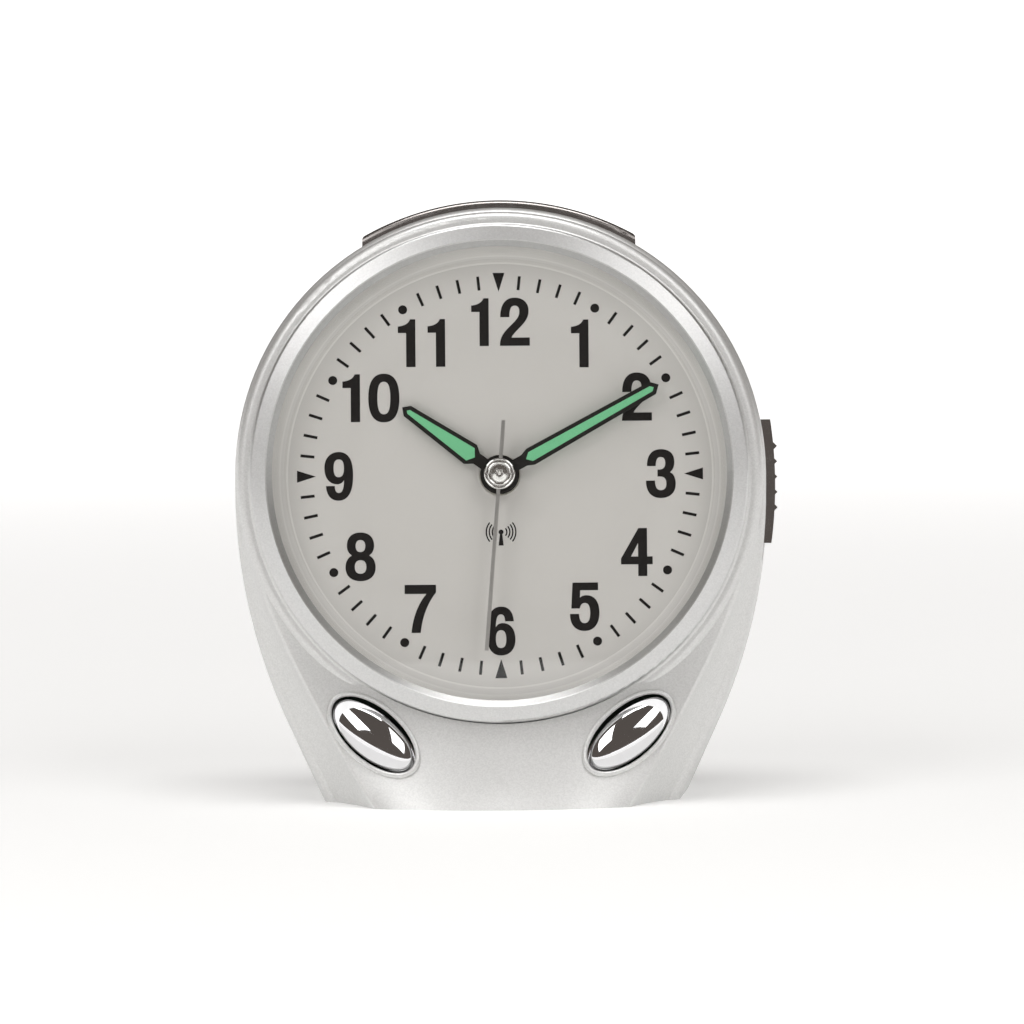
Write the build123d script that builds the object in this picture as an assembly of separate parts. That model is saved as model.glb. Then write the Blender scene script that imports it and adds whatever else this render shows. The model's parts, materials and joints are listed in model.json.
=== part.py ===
from build123d import *
import math
import os

# A talking table clock. Every piece is drawn in the head's frame: origin at the centre of the
# dial's face, +X to the viewer's right, +Y into the clock, +Z up along the dial. The finished
# pieces are then leaned back and set down, so the foot rests on Z = 0. Sizes are millimetres.

# Stance
lean = 6.0
dial_height = 65.0

# Case outline, widest at the seam between the two shells, its round top struck just above the dial's centre
case_radius = 54.4
case_rise = 0.9
flank_radius = 112.0
flank_start = 2.0
flank_end = 49.0
outline_low = -95.0
flank_turn = math.asin((flank_end - flank_start) / flank_radius)


def flank_at(z):
    """Half-width of the case's front view at a height below the dial's centre."""
    centre = case_radius - flank_radius
    if z > -flank_end:
        return centre + math.sqrt(flank_radius**2 - (z + flank_start) ** 2)
    return centre + flank_radius * math.cos(flank_turn) + (z + flank_end) * math.tan(flank_turn)


# Case depths, measured from the dial's face
body_front = 2.0
seam = 24.0
body_back = 38.0
front_draft = 1.2
back_draft = 3.0
seam_step = 0.25
front_round = 2.4
back_round = 6.0
wall = 2.0
floor = 2.0

# Round boss, bezel, lens and dial, from the case's edge inwards
boss_margin = 1.9
boss_radius = case_radius - boss_margin
boss_front = 5.4
boss_round = 1.7
bezel_margin = 2.95
bezel_radius = boss_radius - bezel_margin
bezel_wall = 3.4
bezel_cover = 0.8
bezel_slope = 1.3
bezel_crest = 1.7
bezel_fall = 0.9
bezel_round = 0.7
bezel_seat = 1.0
bezel_play = 0.25
lens_gap = 6.6
lens_thickness = 1.4
lens_play = 0.2
lens_radius = bezel_radius - bezel_wall - lens_play
dial_inset = 2.35
dial_radius = bezel_radius - dial_inset
dial_thickness = 0.8
dial_hole = 4.1
dial_play = 0.2
shelf_width = 3.2
shelf_radius = dial_radius - shelf_width
skirt_step = 1.2
skirt_inner = shelf_radius - skirt_step
skirt_wall = 1.3
gate_width = 4.0
gate_height = 1.4

# Apron sections: height, how far its front edge lies inside the flank, depth of its front at the
# middle and at that edge, and how far its back edge lies inside the flank
apron_sections = [
    (-6.0, 4.7, -4.9, -4.6, 2.9),
    (-27.0, 5.4, -5.2, -4.7, 2.2),
    (-44.0, 8.2, -6.2, -5.2, 3.2),
    (-56.0, 9.4, -9.2, -7.2, 3.2),
    (-71.0, 11.9, -16.8, -11.2, 4.3),
]
apron_hollow = 0.9
apron_edge = 1.0

# Oval buttons in the apron
button_z = -51.7
button_inset = 17.5
button_x = flank_at(button_z) - button_inset
button_y = -7.1
button_long = 9.5
button_short = 4.55
button_dome = 2.3
button_turn = 40.7
button_pitch = 12.0
button_yaw = 4.0
button_gap = 0.6
button_sag = 0.3
rim_width = 1.0
rim_height = 0.35
flange_reach = 0.5
flange_thickness = 1.0
flange_play = 0.8
stem_radius = 2.0
skirt_inset = 0.15

# Push switches
switch_side = 6.0
switch_height = 3.5
plunger_radius = 1.75
plunger_bore_play = 0.1
plunger_length = 3.0
plunger_spare = 0.3
switch_floor = 0.4

# Talk bar
bar_rise = 1.8
bar_radius = case_radius + bar_rise
bar_depth = 5.3
bar_half = 27.6
bar_front = 7.0
bar_back = 21.0
bar_play = 0.35
bar_travel = 1.2
bar_round = 1.2
bar_lip = 1.3
bar_lip_thickness = 1.0
bar_post_radius = 2.2
bar_switch_drop = 13.2
bar_switch_top = bar_radius - bar_switch_drop

# A plunger stands out by the longest stroke and a little more
plunger_reach = bar_travel + plunger_spare

# Slide switch on the right flank
slider_top = 11.4
slider_bottom = -13.6
slider_front = 9.0
slider_back = 17.0
slider_sink = 2.2
slider_floor = case_radius - slider_sink
slider_play = 0.25
slider_rise = 1.0
slider_crown = case_radius + slider_rise
slider_crown_radius = 90.0
slider_travel = 3.0
slider_pad = 2.0
rib_count = 5
rib_pitch = 3.1
rib_width = 2.7
rib_height = 0.45
rib_shift = 0.9
slider_neck = 3.0
slider_neck_height = 4.0
neck_length = 7.0
neck_end = slider_floor - neck_length
flank_switch_wall = 1.5
flank_switch_back = 2.6
flank_switch_grip = 2.6

# Hands
hour_lift = 1.5
minute_lift = 2.9
second_lift = 4.3
hand_thickness = 0.5
hour_angle = 305.0
minute_angle = 61.0
second_angle = 184.6
hour_reach = 23.7
minute_reach = 36.4
second_reach = 35.3
second_tail = 10.7
second_width = 0.75
hand_neck = 2.4
hand_shoulder = 5.6
hand_widening = 1.5
hour_widest = 4.6
hour_tip = 2.5
minute_widest = 3.6
minute_tip = 2.75
lume_start = 0.45
hub_radius = 3.7
hub_step = 0.2
press_play = 0.02
cap_radius = 3.1
cap_step_radius = 2.3
cap_height = 1.0
lume_border = 0.8

# Movement box
movement_half = 28.0
movement_back = 17.0
movement_split = 9.2
movement_wall = 1.6
plate_thickness = 1.0
plate_play = 0.2
corner_post_radius = 2.5
ear_margin = 2.4
ear_radius = shelf_radius + ear_margin
ear_z = 16.1
ear_width = 6.0
ear_thickness = 2.0

# Arbors, from the outside in
bushing_radius = 3.7
bushing_reach = 0.8
hour_pipe_radius = 2.6
minute_pipe_radius = 1.7
second_arbor_radius = 0.75
pipe_play = 0.08
pivot_radius = 0.5
pivot_depth = 0.8
pivot_end_play = 0.1

# Wheel teeth
pressure_angle = math.radians(30)
addendum = 0.7
dedendum = 1.0
tooth_backlash = 0.16
motion_tooth_size = 0.40
hour_tooth_size = 0.384
minute_tooth_size = 0.30
fine_tooth_size = 0.25
cannon_teeth = 12
motion_teeth = 36
motion_pinion_teeth = 10
hour_teeth = 40
centre_teeth = 60
minute_pinion_teeth = 8
minute_wheel_teeth = 48
second_teeth = 60
second_pinion_teeth = 10
second_wheel_teeth = 40
rotor_teeth = 8
wheel_thickness = 1.0
first_wheel_gap = 0.8
layer_gap = 0.6
pinion_margin = 0.2
motion_direction = math.radians(90)
minute_direction = math.radians(210)
second_direction = math.radians(-30)

# Motors
magnet_disc_radius = 2.6
magnet_disc = 1.2
rotor_gap = 0.4
stator_thickness = 0.8
stator_web = 4.0
stator_reach = 4.5
stator_half = 8.4
core_offset = 7.6
core_width = 2.4
coil_width = 5.0
coil_thickness = 2.6

# Circuit board
board_front = 17.6
board_thickness = 1.6
board_margin = 8.4
board_radius = case_radius - board_margin
board_low = -58.0
board_flank_margin = 5.4
board_half = flank_at(board_low) - board_flank_margin
board_play = 0.5
chip_height = 1.6
voice_chip_at = (0.0, 1.0)
voice_chip_size = (16.0, 10.0)
radio_chip_at = (25.0, 18.0)
radio_chip_size = (8.0, 8.0)
can_radius = 3.0
can_height = 6.0
can_places = ((-26.0, 4.0), (-26.0, 12.0))

# Screws and the posts they go into
case_boss_radius = 3.6
case_boss_margin = 6.4
case_boss_angle = math.radians(32.9)
case_boss_reach = case_radius - case_boss_margin
case_boss_upper = (
    case_boss_reach * math.cos(case_boss_angle),
    case_boss_reach * math.sin(case_boss_angle),
)
case_boss_low = -40.0
case_boss_flank_margin = 10.3
case_boss_lower = (flank_at(case_boss_low) - case_boss_flank_margin, case_boss_low)
case_screw_radius = 1.4
case_screw_length = 19.0
case_head_radius = 2.7
case_head_height = 2.0
case_screw_seat = 29.0
board_post_radius = 2.6
board_post_margin = 7.4
board_post_angle = math.radians(48.0)
board_post_reach = case_radius - board_post_margin
board_post_upper = (
    board_post_reach * math.cos(board_post_angle),
    board_post_reach * math.sin(board_post_angle),
)
small_screw_radius = 1.0
small_screw_length = 6.0
small_head_radius = 2.0
small_head_height = 1.3
ear_screw_grip = 2.0
screw_play = 0.05
head_play = 0.3
pillar_wall = 1.2
driver_slot = 0.6
driver_reach = 0.6
pilot_spare = 1.0

# Loudspeaker on the back wall, below the antenna
speaker_drop = 44.4
speaker_z = case_radius - speaker_drop
speaker_radius = 19.0
speaker_depth = 9.0
speaker_wall = 0.8
speaker_rim = 2.0
magnet_radius = 9.0
magnet_depth = 5.0
cone_thickness = 0.5
cone_rest = 0.5
cone_throat = 5.0
coil_former = 2.0
ring_overhang = 2.4
ring_margin = 1.0
ring_ear_radius = 2.8
ring_boss_radius = 2.2
ring_grip = 0.8
ring_thickness = 1.4
ring_screws = 3
grille_radius = 14.0
grille_slot = 2.0
grille_pitch = 4.0
grille_rows = 7

# Antenna
rod_drop = 17.6
rod_z = case_radius - rod_drop
rod_y = 29.0
rod_radius = 4.0
rod_half = 22.0
coil_radius = 5.2
coil_half = 9.0
clip_x = 13.0
clip_width = 3.0
clip_wall = 1.2

# Cells and their bay
cell_radius = 7.25
cell_half = 24.5
cell_nub_radius = 2.75
cell_nub = 1.2
cell_y = 28.35
cell_z = -44.0
cell_spacing = 15.2
bay_half = 28.8
bay_wall = 1.2
bay_play = 0.2
bay_top = cell_z + cell_spacing / 2 + cell_radius + bay_play
contact_thickness = 0.4
contact_half_width = 5.0
leaf_flat = 1.4
tail_half = 1.0
tail_play = 0.2
leaf_half = 3.0

# Lower board posts, as far out as the upper ones and clear above the battery bay
board_post_rise = 0.5
board_post_z = bay_top + bay_wall + small_head_radius + board_post_rise
board_post_lower = (math.sqrt(board_post_reach**2 - board_post_z**2), board_post_z)

# Battery door on the back
door_thickness = 1.8
door_play = 0.3
door_grip_width = 16.0
door_grip_depth = 0.7
door_grip_height = 5.0
door_grip_margin = 2.0
door_seat_play = 0.1

# Keys and zone switch on the back
key_x = (-24.0, -12.0)
key_z = -18.0
key_radius = 3.0
key_proud = 0.8
key_gap = 0.3
key_flange_radius = 4.0
key_stem_radius = 1.5
zone_x = 12.0
zone_half_width = 2.0
zone_half_height = 1.4
zone_steps = 3
zone_pitch = 2.0
zone_play = 0.3
zone_flange = 1.2
zone_stem = 2.0
zone_switch_wall = 1.2

# Leads
lead_radius = 0.6
lead_spacing = 3.0
speaker_lead_x = 14.0

# Long enough to cut right through
far = 150.0

# World placement: the base, from the foot's front edge to the back wall, is centred on Y = 0
lean_sin = math.sin(math.radians(lean))
lean_cos = math.cos(math.radians(lean))
foot_front = apron_sections[-1][2]
base_depth_front = foot_front / lean_cos - dial_height * lean_sin / lean_cos
base_depth_back = body_back / lean_cos - dial_height * lean_sin / lean_cos
dial_setback = -(base_depth_front + base_depth_back) / 2
head = Location((0, dial_setback, dial_height), (-lean, 0, 0))

pieces = {}


def keep(name, shape):
    pieces[name] = head * shape


def fused(shapes):
    whole = shapes[0]
    for shape in shapes[1:]:
        whole = whole + shape
    return whole


def facing(x, y, z):
    """Plane at a point, seen from the front: its X is right, its Y is up, and it faces the viewer."""
    return Plane(origin=(x, y, z), x_dir=(1, 0, 0), z_dir=(0, -1, 0))


def prism(face, front, back, x=0, z=0):
    """A face drawn as seen from the front, made solid between two depths."""
    return extrude(facing(x, back, z) * face, amount=back - front)


def rod(x, z, radius, front, back):
    return prism(Circle(radius), front, back, x, z)


def tube(x, z, outer, inner, front, back):
    return prism(Circle(outer) - Circle(inner), front, back, x, z)


def block(xs, ys, zs):
    size = Box(xs[1] - xs[0], ys[1] - ys[0], zs[1] - zs[0])
    return Pos((xs[0] + xs[1]) / 2, (ys[0] + ys[1]) / 2, (zs[0] + zs[1]) / 2) * size


def upright(x, y, radius, low, high):
    return Pos(x, y, (low + high) / 2) * Cylinder(radius, high - low)


def turned(points):
    """A ring turned about the dial's axis from its section, given as radius and depth."""
    return revolve(make_face(Polyline(points, close=True)), axis=Axis.Y)


def ground(level):
    """Everything below a level above the table, in the head's frame."""
    reach = 400
    return head.inverse() * (Pos(0, 0, level - reach / 2) * Box(reach, reach, reach))


def both_sides(shape):
    return shape + mirror(shape, about=Plane.YZ)


def arch(inset):
    """The case's front view: a round top, long flank arcs, then straight lines to below the table."""
    radius = case_radius - inset
    flank = flank_radius - inset
    flank_centre = case_radius - flank_radius

    def on_flank(angle):
        return flank_centre + flank * math.cos(angle), -flank_start - flank * math.sin(angle)

    middle = on_flank(flank_turn / 2)
    end = on_flank(flank_turn)
    low = (end[0] - (end[1] - outline_low) * math.tan(flank_turn), outline_low)
    right = [(radius, case_rise), (radius, -flank_start), middle, end, low]
    left = [(-x, z) for x, z in right]
    return make_face(
        [
            ThreePointArc(left[0], (0, radius + case_rise), right[0]),
            Line(right[0], right[1]),
            ThreePointArc(right[1], right[2], right[3]),
            Line(right[3], right[4]),
            Line(right[4], left[4]),
            Line(left[4], left[3]),
            ThreePointArc(left[3], left[2], left[1]),
            Line(left[1], left[0]),
        ]
    )


def shell_blank(inset, near, far, draft, rounding):
    """A drafted arch from the seam to its front or back face, with that face's edge rounded."""
    depth = far - near
    side = 1 if depth > 0 else -1
    plane = Plane(origin=(0, near, 0), x_dir=(-side, 0, 0), z_dir=(0, side, 0))
    taper = math.degrees(math.atan(draft / abs(depth)))
    solid = extrude(plane * arch(inset), amount=abs(depth), taper=taper)
    end_face = solid.faces().sort_by(Axis.Y)[-1 if side > 0 else 0]
    return fillet(end_face.edges(), rounding)


def apron_blank(inset):
    """The raised panel from the dial down to the foot, lofted through level sections.

    The inset one is its hollow, which runs on into the room behind the front wall.
    """
    back = seam / 2 if inset else body_front + wall
    sections = []
    for height, front_margin, middle, edge, back_margin in apron_sections:
        half_front = flank_at(height) - front_margin - inset
        half_back = flank_at(height) - back_margin - inset
        middle = middle + inset
        edge = edge + inset
        root = body_front
        sag = apron_hollow / 2
        sagged = ((half_front + half_back) / 2 - sag, (edge + root) / 2 + sag)
        outline = make_face(
            [
                Line((-half_back, back), (-half_back, root)),
                ThreePointArc((-half_back, root), (-sagged[0], sagged[1]), (-half_front, edge)),
                ThreePointArc((-half_front, edge), (0, middle), (half_front, edge)),
                ThreePointArc((half_front, edge), sagged, (half_back, root)),
                Line((half_back, root), (half_back, back)),
                Line((half_back, back), (-half_back, back)),
            ]
        )
        corners = outline.vertices().sort_by_distance((half_front, edge))[:1]
        corners += outline.vertices().sort_by_distance((-half_front, edge))[:1]
        sections.append(Plane.XY.offset(height) * fillet(corners, apron_edge))
    return loft(sections)


def front_shell():
    blank = shell_blank(0, seam, body_front, front_draft, front_round)
    boss = rod(0, 0, boss_radius, -boss_front, body_front + wall)
    boss = fillet(boss.edges().sort_by(Axis.Y)[:1], boss_round)
    outer = blank + apron_blank(0) + boss

    inner_front = body_front + wall
    hollow = shell_blank(wall, seam, inner_front, front_draft, front_round - wall / 2)
    hollow = hollow + (apron_blank(wall) - rod(0, 0, boss_radius, -far, inner_front))
    shell = outer - (hollow - ground(floor))

    posts = []
    for x, z in (case_boss_upper, case_boss_lower):
        posts.append(rod(x, z, case_boss_radius, -boss_front, seam))
    for x, z in (board_post_upper, board_post_lower):
        posts.append(rod(x, z, board_post_radius, 0, board_front))
    pad_y = (slider_front - slider_pad, slider_back + slider_pad)
    pad_z = (slider_bottom - slider_travel - slider_pad, slider_top + slider_pad)
    pad = block((slider_floor - slider_pad, slider_floor), pad_y, pad_z)
    shell = shell + (both_sides(fused(posts)) & outer) + (pad & outer)

    for x, z in (case_boss_upper, case_boss_lower):
        depth = case_screw_seat - case_screw_length - pilot_spare
        shell = shell - both_sides(rod(x, z, case_screw_radius + screw_play, depth, seam))
    for x, z in (board_post_upper, board_post_lower):
        depth = board_front + board_thickness - small_screw_length - pilot_spare
        shell = shell - both_sides(rod(x, z, small_screw_radius + screw_play, depth, board_front))
    for x, z in ear_points():
        depth = inner_front - ear_screw_grip - screw_play
        shell = shell - rod(x, z, small_screw_radius + screw_play, depth, inner_front)

    shell = shell - rod(0, 0, bezel_radius + bezel_play, -far, -bezel_seat)
    shell = shell - rod(0, 0, dial_radius + dial_play, -far, dial_thickness)
    shell = shell - rod(0, 0, shelf_radius, -far, inner_front)

    rim = prism(button_oval(button_gap + rim_width), -far, inner_front, button_x, button_z)
    shell = shell + both_sides(rim & apron_blank(-rim_height) - hollow)
    hole = prism(button_oval(button_gap), -far, inner_front, button_x, button_z)
    shell = shell - both_sides(hole)

    bar_low = math.sqrt((bar_radius - bar_depth) ** 2 - bar_half**2) - bar_travel
    shell = shell - block(
        (-bar_half - bar_play, bar_half + bar_play),
        (bar_front - bar_play, bar_back + bar_play),
        (bar_low, far),
    )
    shell = shell - block(
        (slider_floor, far),
        (slider_front - slider_play, slider_back + slider_play),
        (slider_bottom - slider_travel - slider_play, slider_top + slider_play),
    )
    shell = shell - neck_way(slider_floor - slider_pad, slider_floor)
    return shell - ground(0)


def button_oval(margin):
    """The right-hand button's outline seen from the front, grown by a margin."""
    return Rot(0, 0, button_turn) * Ellipse(button_long + margin, button_short + margin)


def slider_neck_centre():
    return (slider_front + slider_back) / 2, (slider_top + slider_bottom) / 2


def neck_way(inner, outer):
    """Room for the flank slider's neck over its whole stroke."""
    neck_y, neck_z = slider_neck_centre()
    depth = slider_neck / 2 + slider_play
    height = slider_neck_height / 2 + slider_play
    return block(
        (inner, outer),
        (neck_y - depth, neck_y + depth),
        (neck_z - height - slider_travel, neck_z + height),
    )


def ear_points():
    """Screw places of the movement's four ears."""
    x = math.sqrt(ear_radius**2 - ear_z**2)
    return [(x, ear_z), (-x, ear_z), (x, -ear_z), (-x, -ear_z)]


def bezel():
    front = -(lens_gap + lens_thickness)
    crest = front - bezel_crest
    bore = lens_radius + lens_play
    lip = lens_radius - bezel_cover
    section = make_face(
        Polyline(
            (lip, front),
            (lip + bezel_slope, crest),
            (bezel_radius, crest + bezel_fall),
            (bezel_radius, -bezel_seat),
            (bore, -bezel_seat),
            (bore, front),
            close=True,
        )
    )
    crown = section.vertices().sort_by_distance((bezel_radius, crest + bezel_fall))[:1]
    return revolve(fillet(crown, bezel_round), axis=Axis.Y)


def lens():
    back = -lens_gap
    front = back - lens_thickness
    disc = rod(0, 0, lens_radius, front, back)
    skirt = tube(0, 0, skirt_inner + skirt_wall, skirt_inner, back, 0)
    gate = block(
        (-gate_width / 2, gate_width / 2),
        (back, back + gate_height),
        (skirt_inner + skirt_wall / 2, skirt_inner + skirt_wall + gate_height / 2),
    )
    return disc + skirt + gate


def dial():
    return tube(0, 0, dial_radius, dial_hole, 0, dial_thickness)


def hand_outline(widest, tip, reach, inset, ends):
    """A lume hand's outline: a taper from its widest place to a square point, closed by its hub end."""
    half = tip / 2 - inset
    point = reach - inset * math.sqrt(2)
    side = ends + [(widest / 2 - inset, hand_shoulder + hand_widening), (half, point - half)]
    other = [(-x, z) for x, z in reversed(side) if x > 0]
    return make_face(Polyline(side + [(0, point)] + other, close=True))


def lume_hand(angle, lift, hub, bore, widest, tip, reach):
    """A hand in two pieces: a frame on its hub and the luminous insert that fills the frame."""
    neck = [(hand_neck / 2, 0), (hand_neck / 2, hand_shoulder)]
    frame = hand_outline(widest, tip, reach, 0, neck)
    insert = hand_outline(widest, tip, reach, lume_border, [(0, hand_shoulder + lume_start)])
    frame = frame - insert + Circle(hub) - Circle(bore)
    turn = Rot(0, angle, 0)
    front = -lift - hand_thickness
    return turn * prism(frame, front, -lift), turn * prism(insert, front, -lift)


def second_hand():
    front = -second_lift - hand_thickness
    bar = Rectangle(second_width, second_reach + second_tail)
    bar = Pos(0, (second_reach - second_tail) / 2) * bar
    blade = bar + Circle(cap_step_radius) - Circle(second_arbor_radius + press_play)
    blade = prism(blade, front, -second_lift)
    cap = tube(0, 0, cap_radius, second_arbor_radius + press_play, front - cap_height / 2, front)
    step = rod(0, 0, cap_step_radius, front - cap_height, front - cap_height / 2)
    return Rot(0, second_angle, 0) * blade, cap + step


def wheel_face(teeth, module, phase):
    """A toothed wheel seen from the front, one tooth centred on the phase angle. Flanks are straight."""
    pitch = module * teeth / 2
    tip = pitch + addendum * module
    root = pitch - dedendum * module
    base = pitch * math.cos(pressure_angle)

    def spread(radius):
        roll = math.acos(min(1, base / radius))
        unroll = math.tan(roll) - roll
        flat = math.tan(pressure_angle) - pressure_angle
        return (math.pi / 2 - tooth_backlash) / teeth + flat - unroll

    points = []
    for tooth in range(teeth):
        middle = phase + 2 * math.pi * tooth / teeth
        for radius, side in ((root, -1), (tip, -1), (tip, 1), (root, 1)):
            angle = middle + side * spread(max(radius, base))
            points.append((radius * math.cos(angle), radius * math.sin(angle)))
    return make_face(Polyline(points, close=True))


def meshed(phase, teeth, line, other_teeth):
    """Phase of a wheel whose gap meets the other wheel's tooth on the line between their centres."""
    return line + math.pi + (math.pi - teeth * (phase - line)) / other_teeth


def toothed(teeth, module, phase, front, back, centre, bore):
    face = wheel_face(teeth, module, phase) - Circle(bore)
    return prism(face, front, back, centre[0], centre[1])


def polar(origin, distance, angle):
    return origin[0] + distance * math.cos(angle), origin[1] + distance * math.sin(angle)


def beside(origin, tooth_size, teeth, other_teeth, angle):
    """Axle of a wheel that meshes with the one at the origin."""
    return polar(origin, tooth_size * (teeth + other_teeth) / 2, angle)


def movement_parts():
    """The clockwork behind the dial: two half boxes, a plate between them, two motors and their wheels."""
    front = dial_thickness
    inner = front + movement_wall
    back_inner = movement_back - movement_wall
    plate_back = movement_split + plate_thickness
    room = movement_half - movement_wall
    post = room - corner_post_radius - plate_play
    centre = (0, 0)

    hour_front = inner + first_wheel_gap
    motion_front = hour_front + wheel_thickness + layer_gap
    centre_front = motion_front + wheel_thickness + layer_gap
    second_front = plate_back + layer_gap
    second_wheel_front = second_front + wheel_thickness + layer_gap

    def pinion(front_depth):
        return front_depth - pinion_margin, front_depth + wheel_thickness + pinion_margin

    motion_at = beside(centre, motion_tooth_size, cannon_teeth, motion_teeth, motion_direction)
    minute_at = beside(centre, minute_tooth_size, centre_teeth, minute_pinion_teeth, minute_direction)
    minute_rotor_at = beside(minute_at, fine_tooth_size, minute_wheel_teeth, rotor_teeth, minute_direction)
    second_at = beside(centre, fine_tooth_size, second_teeth, second_pinion_teeth, second_direction)
    second_rotor_at = beside(second_at, fine_tooth_size, second_wheel_teeth, rotor_teeth, second_direction)

    # Hour wheel on its pipe, minute tube with its two wheels, and the motion wheel between them
    hour_bore = minute_pipe_radius + pipe_play
    hour_phase = 0
    motion_pinion_phase = meshed(hour_phase, hour_teeth, motion_direction, motion_pinion_teeth)
    motion_phase = 0
    cannon_phase = meshed(motion_phase, motion_teeth, motion_direction + math.pi, cannon_teeth)
    hour = tube(0, 0, hour_pipe_radius, hour_bore, -hour_lift - hand_thickness, hour_front + wheel_thickness)
    hour = hour + toothed(
        hour_teeth, hour_tooth_size, hour_phase, hour_front, hour_front + wheel_thickness,
        centre, hour_pipe_radius,
    )
    keep("hour_wheel", hour)

    motion = toothed(
        motion_teeth, motion_tooth_size, motion_phase, motion_front, motion_front + wheel_thickness,
        motion_at, pivot_radius + pipe_play,
    )
    motion = motion + toothed(
        motion_pinion_teeth, hour_tooth_size, motion_pinion_phase, hour_front - pinion_margin, motion_front,
        motion_at, pivot_radius + pipe_play,
    )
    keep("motion_wheel", motion)

    minute_bore = second_arbor_radius + pipe_play
    minute_back = centre_front + wheel_thickness + pinion_margin
    minute = tube(0, 0, minute_pipe_radius, minute_bore, -minute_lift - hand_thickness, minute_back)
    minute = minute + toothed(
        cannon_teeth, motion_tooth_size, cannon_phase, *pinion(motion_front), centre, minute_pipe_radius
    )
    centre_phase = 0
    minute = minute + toothed(
        centre_teeth, minute_tooth_size, centre_phase, centre_front, centre_front + wheel_thickness,
        centre, minute_pipe_radius,
    )
    keep("minute_tube", minute)

    # Minute motor's step-down wheel and rotor, carried by the front half and the plate
    def arbor(at, start, end):
        return rod(at[0], at[1], pivot_radius, start, end)

    front_pivot = inner - pivot_depth + pivot_end_play
    plate_pivot = plate_back - pivot_end_play
    minute_pinion_phase = meshed(centre_phase, centre_teeth, minute_direction, minute_pinion_teeth)
    minute_wheel_phase = 0
    minute_rotor_phase = meshed(minute_wheel_phase, minute_wheel_teeth, minute_direction, rotor_teeth)
    step = arbor(minute_at, front_pivot, plate_pivot)
    step = step + toothed(
        minute_wheel_teeth, fine_tooth_size, minute_wheel_phase, motion_front, motion_front + wheel_thickness,
        minute_at, pivot_radius,
    )
    step = step + toothed(
        minute_pinion_teeth, minute_tooth_size, minute_pinion_phase, *pinion(centre_front),
        minute_at, pivot_radius,
    )
    keep("minute_step_wheel", step)

    minute_level = movement_split - coil_thickness / 2 - plate_play
    rotor = arbor(minute_rotor_at, front_pivot, plate_pivot)
    rotor = rotor + toothed(
        rotor_teeth, fine_tooth_size, minute_rotor_phase, *pinion(motion_front),
        minute_rotor_at, pivot_radius,
    )
    rotor = rotor + magnet(minute_rotor_at, minute_level)
    keep("minute_rotor", rotor)

    # Second arbor and its wheel, then the second motor's step-down wheel and rotor behind the plate
    back_pivot = back_inner + pivot_depth - pivot_end_play
    plate_front_pivot = movement_split + pivot_end_play
    second_phase = 0
    second_pinion_phase = meshed(second_phase, second_teeth, second_direction, second_pinion_teeth)
    second_wheel_phase = 0
    second_rotor_phase = meshed(second_wheel_phase, second_wheel_teeth, second_direction, rotor_teeth)
    arbor_front = -second_lift - hand_thickness - cap_height / 2
    second = rod(0, 0, second_arbor_radius, arbor_front, back_pivot)
    second = second + toothed(
        second_teeth, fine_tooth_size, second_phase, second_front, second_front + wheel_thickness,
        centre, second_arbor_radius,
    )
    keep("second_arbor", second)

    step = arbor(second_at, plate_front_pivot, back_pivot)
    step = step + toothed(
        second_wheel_teeth, fine_tooth_size, second_wheel_phase, second_wheel_front,
        second_wheel_front + wheel_thickness, second_at, pivot_radius,
    )
    step = step + toothed(
        second_pinion_teeth, fine_tooth_size, second_pinion_phase, *pinion(second_front),
        second_at, pivot_radius,
    )
    keep("second_step_wheel", step)

    second_level = back_inner - coil_thickness / 2
    rotor = arbor(second_rotor_at, plate_front_pivot, back_pivot)
    rotor = rotor + toothed(
        rotor_teeth, fine_tooth_size, second_rotor_phase, *pinion(second_wheel_front),
        second_rotor_at, pivot_radius,
    )
    rotor = rotor + magnet(second_rotor_at, second_level)
    keep("second_rotor", rotor)

    # Stators and coils
    minute_stator, minute_coil = motor(minute_rotor_at, -1, minute_level)
    second_stator, second_coil = motor(second_rotor_at, 1, second_level)
    keep("motor_stators", Compound([minute_stator, second_stator]))
    keep("motor_coils", Compound([minute_coil, second_coil]))

    # Box halves and the plate
    half_box = (-movement_half, movement_half)
    room_box = (-room, room)
    corners = [(x, z) for x in (-post, post) for z in (-post, post)]
    box = block(half_box, (front, movement_split), half_box)
    box = box - block(room_box, (inner, movement_split), room_box)
    box = box + rod(0, 0, bushing_radius, -bushing_reach, inner)
    box = box - rod(0, 0, hour_pipe_radius + pipe_play, -bushing_reach, inner)
    seat = body_front + wall
    for x, z in ear_points():
        side = math.copysign(1, x)
        arm_x = sorted((side * room, x))
        arm = block(arm_x, (seat, seat + ear_thickness), (z - ear_width / 2, z + ear_width / 2))
        arm = arm + rod(x, z, ear_width / 2, seat, seat + ear_thickness)
        box = box + arm - block(room_box, (inner, movement_split), room_box)
        box = box - rod(x, z, small_screw_radius + screw_play, seat, seat + ear_thickness)
    for x, z in corners:
        box = box + rod(x, z, corner_post_radius, inner, movement_split)
    box = box + rod(motion_at[0], motion_at[1], pivot_radius, inner, motion_front + wheel_thickness)
    for at in (minute_at, minute_rotor_at):
        box = box - rod(at[0], at[1], pivot_radius + pipe_play, inner - pivot_depth, inner)
    keep("movement_front", box)

    lid = block(half_box, (movement_split, movement_back), half_box)
    lid = lid - block(room_box, (movement_split, back_inner), room_box)
    for x, z in corners:
        lid = lid + rod(x, z, corner_post_radius, plate_back, back_inner)
    for at in (second_at, second_rotor_at):
        lid = lid - rod(at[0], at[1], pivot_radius + pipe_play, back_inner, back_inner + pivot_depth)
    lid = lid - rod(0, 0, second_arbor_radius + pipe_play, back_inner, back_inner + pivot_depth)
    keep("movement_rear", lid)

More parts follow.
